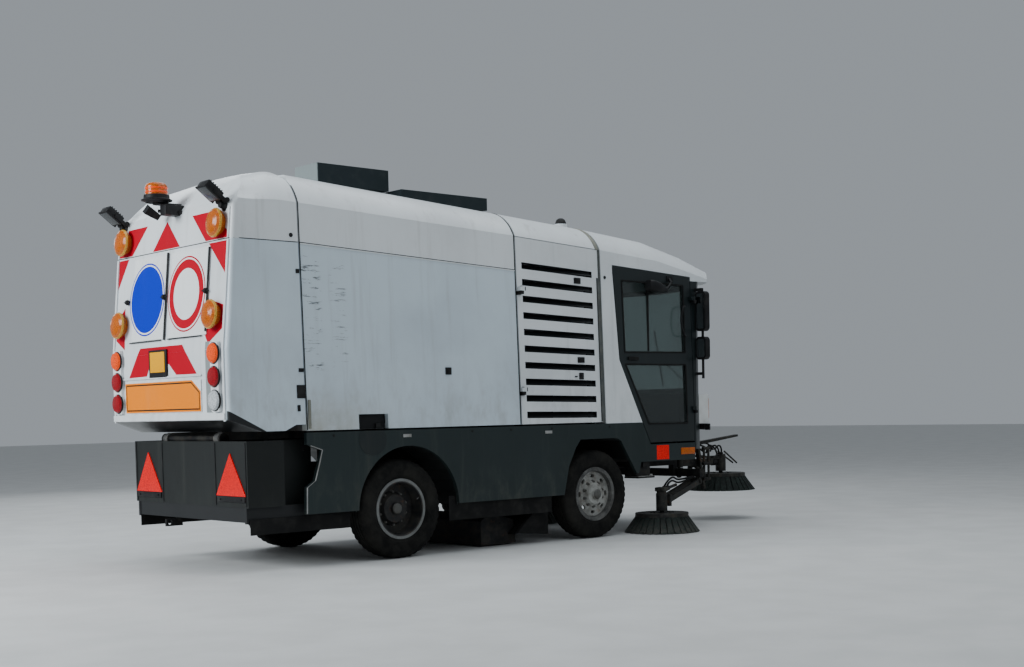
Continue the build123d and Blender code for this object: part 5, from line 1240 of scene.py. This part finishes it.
class SWEEPER_OT_bristles(Operator):
    """Loose bristles round the CAD tufts of every brush, and the plate above them"""

    bl_idname = "sweeper.bristles"
    bl_label = "Bristles"

    def execute(self, context):
        rng = random.Random(sizes().seed)
        station, y, _ = SIDE_BRUSH
        for name, spot in (
            ("right", at(station, -y, 0.19)),
            ("left", at(station, y, 0.19)),
            ("front", at(FRONT_BRUSH, BRUSH_BOOM_Y, 0.50)),
        ):
            place = Matrix.Translation(spot)
            bm = bmesh.new()
            for row in range(sizes().bristle_rows):
                share = row / max(1, sizes().bristle_rows - 1)
                for index in range(BRISTLES_IN_ROW):
                    angle = math.tau * (index + rng.random()) / BRISTLES_IN_ROW
                    root = ROOT_RADIUS + ROOT_SPREAD * share + rng.uniform(-0.008, 0.008)
                    tip = TIP_RADIUS + TIP_SPREAD * share + rng.uniform(-0.012, 0.004)
                    lean = angle + rng.uniform(-0.06, 0.06)
                    top = Vector((root * math.cos(angle), root * math.sin(angle), BRISTLE_TOP))
                    foot = BRISTLE_FOOT + rng.uniform(0, 0.006)
                    low = Vector((tip * math.cos(lean), tip * math.sin(lean), foot))
                    middle = top.lerp(low, 0.55) + Vector((0, 0, -0.008))
                    side = Vector((-math.sin(angle), math.cos(angle), 0)) * BRISTLE_HALF
                    pairs = []
                    for point, width in ((top, 1.0), (middle, 1.0), (low, 0.5)):
                        edges = (point - side * width, point + side * width)
                        pairs.append([bm.verts.new(place @ edge) for edge in edges])
                    for (a, b), (c, d) in zip(pairs, pairs[1:]):
                        bm.faces.new((a, b, d, c))
            piece(f"loose_bristles_{name}", bm, "bristle", f"brush_{name}")
            bm = bmesh.new()
            disc = ((0.06, 0.0004), (0.262, 0.0004), (0.2635, -0.004), (0.2635, -0.036), (0.259, -0.038))
            turned(bm, place, disc, 64)
            for east, north in circle(0.105, 8):
                bolt(bm, place @ Vector((east, north, 0.0005)), UP)
            piece(f"brush_plate_{name}", bm, "gear black", f"brush_{name}", True)
        return {"FINISHED"}


def lamp_shell(bm, place):
    """Rounded body of the lamp over a door: a loft through five soft squares."""
    rings = []
    for x, half_y, half_z in DOOR_LAMP_SECTIONS:
        ring = []
        for across, up in circle(1.0, 20):
            wide, tall = (math.copysign(abs(part) ** 0.6, part) for part in (across, up))
            ring.append(bm.verts.new(place @ Vector((x, wide * half_y, tall * half_z))))
        rings.append(ring)
    loft(bm, rings)


class SWEEPER_OT_cab_fittings(Operator):
    """Window seals, handles, mirror glass, door lamps and markers on the sides of the cab"""

    bl_idname = "sweeper.cab_fittings"
    bl_label = "Cab fittings"

    def execute(self, context):
        for side, sign in SIDES:
            door = f"cab_door_{side}"
            bm = bmesh.new()
            for window in WINDOWS:
                for (x0, z0), (x1, z1) in zip(window, window[1:] + window[:1]):
                    across = Vector((z1 - z0, 0, x0 - x1)).normalized()
                    ends = [on_side(x0, z0, sign, -0.001), on_side(x1, z1, sign, -0.001)]
                    band(bm, ends, across, 0.016, (0, sign, 0), 0.005)
            block(bm, at(2.80, sign * (side_y(1.70) + 0.008), 1.705), (0.14, 0.02, 0.035), None, 0.006)
            block(bm, on_side(3.045, 2.11, sign, -0.012), (0.024, 0.012, 0.66), None, 0.003)
            piece(f"window_seals_{side}", bm, "rubber", door, True)
            outs = (0.004, 0.052, 0.052, 0.052, 0.052, 0.004)
            bar = [on_side(x, z, sign, out) for (x, z), out in zip(HANDLE, outs)]
            hose(f"grab_handle_{side}", bar, 0.011, "black plastic", door)
            bm = bmesh.new()
            place = tilted(on_side(3.10, 2.4, sign, 0.068), 9)
            lamp_shell(bm, place)
            rod(bm, place @ Vector((0.14, 0, 0)), at(3.34, sign * (side_y(2.46) + 0.045), 2.455), 0.012)
            elbow = at(3.34, sign * (side_y(2.46) + 0.05), 2.455)
            rod(bm, elbow, on_side(3.36, 2.5, sign, -0.002), 0.014)
            block(bm, on_side(3.365, 2.5, sign, 0.004), (0.09, 0.012, 0.05), None, 0.004)
            piece(f"door_top_lamp_{side}", bm, "black plastic", door, True)
            bm = bmesh.new()
            plug = basis(*side_spot("cab_back", 2.455, 2.47, sign))
            turned(bm, plug, ((0.016, 0), (0.016, 0.004), (0.010, 0.007), (0, 0.007)), 18)
            for z in (1.2, 2.3):
                block(bm, at(3.668, sign * 1.022, z - 0.02), (0.030, 0.026, 0.030), None, 0.006)
            piece(f"cab_side_fittings_{side}", bm, "black plastic", "chassis", True)
            bm = bmesh.new()
            for z, h in ((2.185, 0.352), (1.815, 0.184)):
                corners = []
                for sy, sz in ((1, 1), (-1, 1), (-1, -1), (1, -1)):
                    for turn in ((0, 30, 60, 90) if sy * sz > 0 else (90, 60, 30, 0)):
                        angle = math.radians(turn)
                        y = sign * 1.055 + sy * (0.026 + 0.026 * math.cos(angle))
                        rise = sz * (h / 2 - 0.026 + 0.026 * math.sin(angle))
                        corners.append((ahead(3.748) - 0.0334, y, z + rise))
                plate(bm, corners, (-1, 0, 0), 0.0015)
            piece(f"mirror_faces_{side}", bm, "mirror glass", "chassis")
            marker = at(3.56, sign * 1.001, 0.787)
            slab(f"side_marker_{side}", marker, (0.205, 0.008, 0.066), None, 0.003, "amber", "chassis")
            if side == "right":
                # The red square takes the reflector finish, whose glow is painted light
                square = at(3.19, sign * 1.0006, 0.785)
                slab("blank_red_square", square, (0.175, 0.002, 0.14), None, 0, "reflector", "chassis")
        return {"FINISHED"}


class SWEEPER_OT_cab_front_fittings(Operator):
    """Wipers, headlamp glasses, grille slats, seams and blank plate on the front of the cab"""

    bl_idname = "sweeper.cab_front_fittings"
    bl_label = "Cab front fittings"

    def execute(self, context):
        bm, glass_bm, amber_bm = bmesh.new(), bmesh.new(), bmesh.new()
        for sign in (-1, 1):
            for z, radius in HEADLAMPS:
                spot, normal = front_spot("headlamps", sign * 0.765, z)
                place = basis(spot - normal * 0.012, normal)
                rim = ((radius + 0.012, 0), (radius + 0.012, 0.020), (radius, 0.024), (radius, 0.012))
                turned(bm, place, rim, 36)
                dome = ((radius, 0.014), (radius * 0.8, 0.020), (radius * 0.4, 0.024), (0, 0.025))
                turned(glass_bm, place, dome, 36)
            place = basis(*front_spot("headlamps", sign * 0.885, 1.21))
            block(amber_bm, (0, 0, 0.002), (0.042, 0.20, 0.012), place, 0.004)
        piece("headlamp_rims", bm, "bright steel", "chassis", True)
        piece("front_indicators", amber_bm, "amber", "chassis", True)
        piece("headlamp_glasses", glass_bm, "clear", "chassis", True)
        bm = bmesh.new()
        for y, tip_y, tip_z in WIPERS:
            foot, normal = front_spot("cab_front", y, 1.315)
            button(bm, basis(foot, normal), ((0.022, 0), (0.020, 0.022), (0.010, 0.03), (0, 0.03)), 20)
            knee = front_spot("windscreen", y + 0.15 * (tip_y - y), 1.50, 0.030)[0]
            end = front_spot("windscreen", tip_y, 0.5 * (1.50 + tip_z), 0.018)[0]
            rod(bm, foot + normal * 0.024, knee, 0.008)
            rod(bm, knee, end, 0.006)
            blade = []
            for share in (-1, -0.5, 0, 0.5, 1):
                across, up = tip_y + 0.06 * share, end.z + 0.30 * share
                blade.append(front_spot("windscreen", across, up, 0.004)[0])
            band(bm, blade, (0, 1, 0), 0.012, (1, 0, 0), 0.012)
        piece("windscreen_wipers", bm, "black plastic", "chassis", True)
        bm = bmesh.new()
        for row in range(5):
            z = 1.115 + row * 0.036
            path = [front_spot("cab_front", y, z)[0] for y in (-0.42, -0.28, -0.14, 0.0, 0.14, 0.28, 0.42)]
            band(bm, path, UP, 0.018, (1, 0, 0), 0.009)
        piece("front_grille_slats", bm, "black plastic", "chassis")
        seat = basis(*front_spot("cab_front", 0.0, 0.93))
        holder, face = (0.54, 0.12, 0.010), (0.50, 0.095, 0.003)
        slab("front_plate_holder", (0, 0, 0.006), holder, seat, 0.003, "black plastic", "chassis")
        slab("blank_front_plate", (0, 0, 0.0125), face, seat, 0.001, "yellow foil", "chassis")
        bm = bmesh.new()
        for sign in (-1, 1):
            low = front_spot("cab_front", sign * 0.50, 1.30)[0]
            path = [front_spot("cab_front", sign * y, 1.318)[0] for y in (0.02, 0.2, 0.4, 0.6, 0.78)]
            band(bm, path, UP, 0.012, (1, 0, 0), 0.004)
            block(bm, (low.x + 0.004, low.y, 1.07), (0.010, 0.05, 0.018), None, 0.003)
        piece("windscreen_sill_seal", bm, "rubber", "chassis")
        bm = bmesh.new()
        cap = touch("cab_roof", at(2.6, 0.0, 4.0), -UP)[0]
        dome = touch("engine_roof", at(2.285, -0.55, 4.0), -UP)[0]
        knob = ((0.052, 0), (0.052, 0.022), (0.040, 0.048), (0.02, 0.060), (0, 0.063))
        turned(bm, basis(dome - UP * 0.004, UP), knob, 32)
        aerial = ((0.012, 0), (0.012, 0.012), (0.005, 0.02), (0.003, 0.08), (0, 0.082))
        turned(bm, basis(cap, UP), aerial, 16)
        piece("roof_cap_and_aerial", bm, "black plastic", "chassis", True)
        return {"FINISHED"}


class SWEEPER_OT_lower_fittings(Operator):
    """Reflector triangles with a painted glow, skirt edges and dark discs, bolts, a black sheet of painted
    shade behind each skirt, rubber valances and steps low on the vehicle
    """

    bl_idname = "sweeper.lower_fittings"
    bl_label = "Lower fittings"

    def execute(self, context):
        wall = ahead(-1.464)
        bm, feet_bm = bmesh.new(), bmesh.new()
        for sign in (-1, 1):
            y = sign * TRIANGLE_Y
            feet = [(wall, y + half, TRIANGLE_FOOT) for half in (TRIANGLE_HALF, -TRIANGLE_HALF)]
            plate(bm, [*feet, (wall, y, TRIANGLE_TOP)], (-1, 0, 0), 0.008)
            block(feet_bm, (wall - 0.004, y, 0.573), (0.01, 0.42, 0.045), None, 0.003)
            for shift in (-0.16, 0.16):
                bolt(feet_bm, (wall - 0.009, y + shift, 0.573), (-1, 0, 0), 0.007)
            for end in (0.44, 0.905):
                block(feet_bm, (wall - 0.002, sign * end, 0.77), (0.005, 0.012, 0.50), None, 0.001)
            block(feet_bm, at(-0.876, sign * 0.812, 0.976), (0.030, 0.012, 0.075), None, 0.004)
        # The reflector finish's glow on the triangles is painted light
        piece("red_triangles", bm, "reflector", "chassis")
        piece("triangle_feet", feet_bm, "black plastic", "chassis", True)
        bm = bmesh.new()
        for sign in (-1, 1):
            path = [at(x + 0.004, sign * 1.0, z) for x, z in WORN_EDGE]
            band(bm, path, (1, 0, 0.3), 0.012, (0, sign, 0), 0.0015)
            for station, z in ((-0.303, 1.041), (0.039, 1.035), (1.657, 1.023)):
                block(bm, at(station, sign * 1.0, z), (0.085, 0.004, 0.026), None, 0.001)
        piece("worn_skirt_edges", bm, "bright steel", "chassis")
        bm, screw_and_shade_bm, tread_bm = bmesh.new(), bmesh.new(), bmesh.new()
        for sign in (-1, 1):
            # A darker disc on each skirt below the notch, cut off at the skirt's top
            rim = []
            for east, north in circle(1.0, 48):
                spot = at(-0.317, sign * 1.0002, min(1.084, 1.012 + 0.13 * north))
                rim.append(spot + Vector((0.14 * east, 0, 0)))
            plate(bm, rim, (0, sign, 0), 0.002)
            for x in SCREW_STATIONS:
                bolt(screw_and_shade_bm, at(x, sign * 1.0, 1.055), (0, sign, 0), 0.008, 0.005)
            # Thin black sheet closing the gap behind the skirt: painted shade of the space inside
            block(screw_and_shade_bm, at(-1.30, sign * 0.9302, 0.77), (0.30, 0.001, 0.48))
            block(tread_bm, at(2.955, sign * 0.9, 0.557), (0.226, 0.186, 0.004))
            for row in range(6):
                block(tread_bm, at(2.865 + row * 0.036, sign * 0.9, 0.5605), (0.012, 0.17, 0.004))
        piece("skirt_dark_discs", bm, "dark cab", "chassis")
        piece("skirt_screws_and_shade_sheets", screw_and_shade_bm, "dark rear", "chassis", True)
        piece("step_treads", tread_bm, "bright steel", "chassis")
        bm, edge_bm = bmesh.new(), bmesh.new()
        for sign in (-1, 1):
            for start, end, y, low, high in VALANCES:
                stations = [start + row / 24 * (end - start) for row in range(25)]
                path = [at(s, sign * (y + 0.003 * math.sin(17 * s)), 0.5 * (low + high)) for s in stations]
                band(bm, path, UP, high - low, (0, sign, 0), 0.006)
            block(bm, (0, 0, 0), (0.52, 0.24, 0.012), tilted(at(1.545, sign * 0.74, 0.268), -40), 0.003)
            cheek = [at(x, sign * 0.862, z) for x, z in ((1.745, 0.44), (1.355, 0.105), (1.745, 0.075))]
            plate(bm, cheek, (0, sign, 0), 0.008)
            block(edge_bm, at(2.98, sign * 0.952, 0.560), (0.205, 0.012, 0.030), None, 0.004)
        piece("rubber_valances", bm, "rubber", "chassis", True)
        piece("step_edges", edge_bm, "bright steel", "chassis", True)
        return {"FINISHED"}


class SWEEPER_OT_brush_gear_fittings(Operator):
    """Motor caps, pins, link columns, rods and hoses of the brush gear"""

    bl_idname = "sweeper.brush_gear_fittings"
    bl_label = "Brush gear fittings"

    def execute(self, context):
        for side, sign in SIDES:
            hub, pivot = (at(x, sign * y, z) for x, y, z in (SIDE_BRUSH, BRUSH_PIVOT))
            heading = ((hub - pivot) * Vector((1, 1, 0))).normalized()
            across = Vector((-heading.y, heading.x, 0))
            bm = bmesh.new()
            button(bm, basis(hub, UP), ((0.05, 0), (0.048, 0.02), (0.028, 0.028), (0, 0.03)), 28)
            for east, north in circle(0.042, 4, 0.5):
                bolt(bm, hub + Vector((east, north, 0.016)), UP, 0.006)
            pin = ((0, -0.002), (0.024, -0.002), (0.024, 0.006), (0.012, 0.012), (0, 0.012))
            for shift in (-0.048, 0.048):
                turned(bm, basis(pivot + heading * 0.062 + across * shift * 1.36, across * shift), pin, 20)
            motor = basis(hub, UP) @ Matrix.Rotation(math.radians(20), 4, "Z")
            block(bm, (0, 0, 0.040), (0.104, 0.104, 0.040), motor, 0.008)
            start = hub - heading * 0.050 + UP * 0.045
            rod(bm, start, start - heading * 0.120, 0.024)
            rod(bm, start - heading * 0.120, start - heading * 0.300 + UP * 0.020, 0.015)
            piece(f"brush_motor_cap_{side}", bm, "gear black", f"arm_{side}", True)
            bm = bmesh.new()
            for station in (4.125, 4.195):
                rod(bm, at(station, sign * 0.72, 0.46), at(station, sign * 0.72, 0.80), 0.013)
            for z in (0.47, 0.63, 0.79):
                rod(bm, at(4.105, sign * 0.72, z), at(4.215, sign * 0.72, z), 0.017)
            piece(f"link_column_{side}", bm, "gear black", "chassis", True)
            for index, lift in enumerate((0.055, 0.085)):
                path = [
                    hub - heading * 0.03 + across * (0.02 - 0.04 * index) + UP * 0.02,
                    hub - heading * 0.16 + UP * (0.05 + lift) + across * 0.02,
                    hub - heading * 0.42 + UP * (0.03 + lift),
                    hub - heading * 0.66 + UP * (0.07 + lift * 0.6),
                    pivot + heading * 0.10 + UP * 0.05 + across * (0.01 - 0.02 * index),
                ]
                hose(f"motor_hose_{side}_{index}", path, 0.010, "rubber", f"arm_{side}")
        y = BRUSH_BOOM_Y
        bm, cap_bm = bmesh.new(), bmesh.new()
        for shift in (-0.045, 0.045):
            rod(bm, at(4.385, y + shift, 0.70), at(4.57, y + shift, 0.675), 0.012)
            rod(cap_bm, at(4.80, y + shift, 0.735), at(5.03, y + shift * 0.6, 0.60), 0.009)
        rod(bm, at(4.37, y - 0.036, 0.829), at(4.37, y + 0.036, 0.829), 0.014)
        piece("front_link_rods", bm, "gear black", "boom", True)
        cap = ((0.056, 0), (0.056, 0.006), (0.046, 0.014), (0.030, 0.016), (0.030, 0.034), (0, 0.036))
        turned(cap_bm, basis(at(FRONT_BRUSH, y, 0.689), UP), cap, 28)
        for east, north in circle(0.043, 4, 0.5):
            bolt(cap_bm, at(FRONT_BRUSH, y, 0.700) + Vector((east, north, 0)), UP, 0.006)
        piece("front_motor_cap", cap_bm, "gear black", "tilt_arm", True)
        for index, shift in enumerate((-0.03, 0.0, 0.03)):
            drop = 0.02 * index
            motor_path = (
                (4.77, 1.0, 0, 0.705), (4.745, 1.6, 0, 0.77),
                (4.68, 2.2, 0, 0.80), (4.62, 2.0, 0, 0.76 - drop),
            )
            boom_path = (
                (4.60, 2.0, 0, 0.76 - drop), (4.50, 1.6, 0, 0.83 - 1.5 * drop), (4.36, 1.4, 0.02, 0.80),
                (4.24, 1.2, 0.03, 0.72), (4.14, 1.0, 0.03, 0.70),
            )
            for name, path, body in (("front_motor", motor_path, "tilt_arm"), ("boom", boom_path, "boom")):
                points = [at(x, y + shift * spread + out, z) for x, spread, out, z in path]
                hose(f"{name}_hose_{index}", points, 0.009, "rubber", body)
        return {"FINISHED"}


PIECES = (
    SWEEPER_OT_finishes,
    SWEEPER_OT_tailgate_markings,
    SWEEPER_OT_tailgate_trim,
    SWEEPER_OT_tailgate_crown,
    SWEEPER_OT_body_fittings,
    SWEEPER_OT_seam_strips,
    SWEEPER_OT_tyres,
    SWEEPER_OT_wheel_fittings,
    SWEEPER_OT_bristles,
    SWEEPER_OT_cab_fittings,
    SWEEPER_OT_cab_front_fittings,
    SWEEPER_OT_lower_fittings,
    SWEEPER_OT_brush_gear_fittings,
    SWEEPER_OT_stage,
)


class SWEEPER_PT_dressing(Panel):
    """Sidebar panel with the colours, the sizes and one button for each group of pieces"""

    bl_label = "Road Sweeper"
    bl_idname = "SWEEPER_PT_dressing"
    bl_space_type = "VIEW_3D"
    bl_region_type = "UI"
    bl_category = "Sweeper"

    def draw(self, context):
        layout = self.layout
        for group in (look(), sizes()):
            box = layout.box()
            for name in group.__annotations__:
                box.prop(group, name)
        for operator in PIECES:
            layout.operator(operator.bl_idname)


CLASSES = (SweeperLook, SweeperSizes, *PIECES, SWEEPER_PT_dressing)


def register():
    for cls in CLASSES:
        bpy.utils.register_class(cls)
    bpy.types.Scene.sweeper_look = PointerProperty(type=SweeperLook)
    bpy.types.Scene.sweeper_sizes = PointerProperty(type=SweeperSizes)


def unregister():
    del bpy.types.Scene.sweeper_sizes
    del bpy.types.Scene.sweeper_look
    for cls in reversed(CLASSES):
        bpy.utils.unregister_class(cls)


def main():
    register()
    for operator in PIECES:
        getattr(bpy.ops.sweeper, operator.bl_idname.split(".")[1])()


if __name__ == "__main__":
    main()
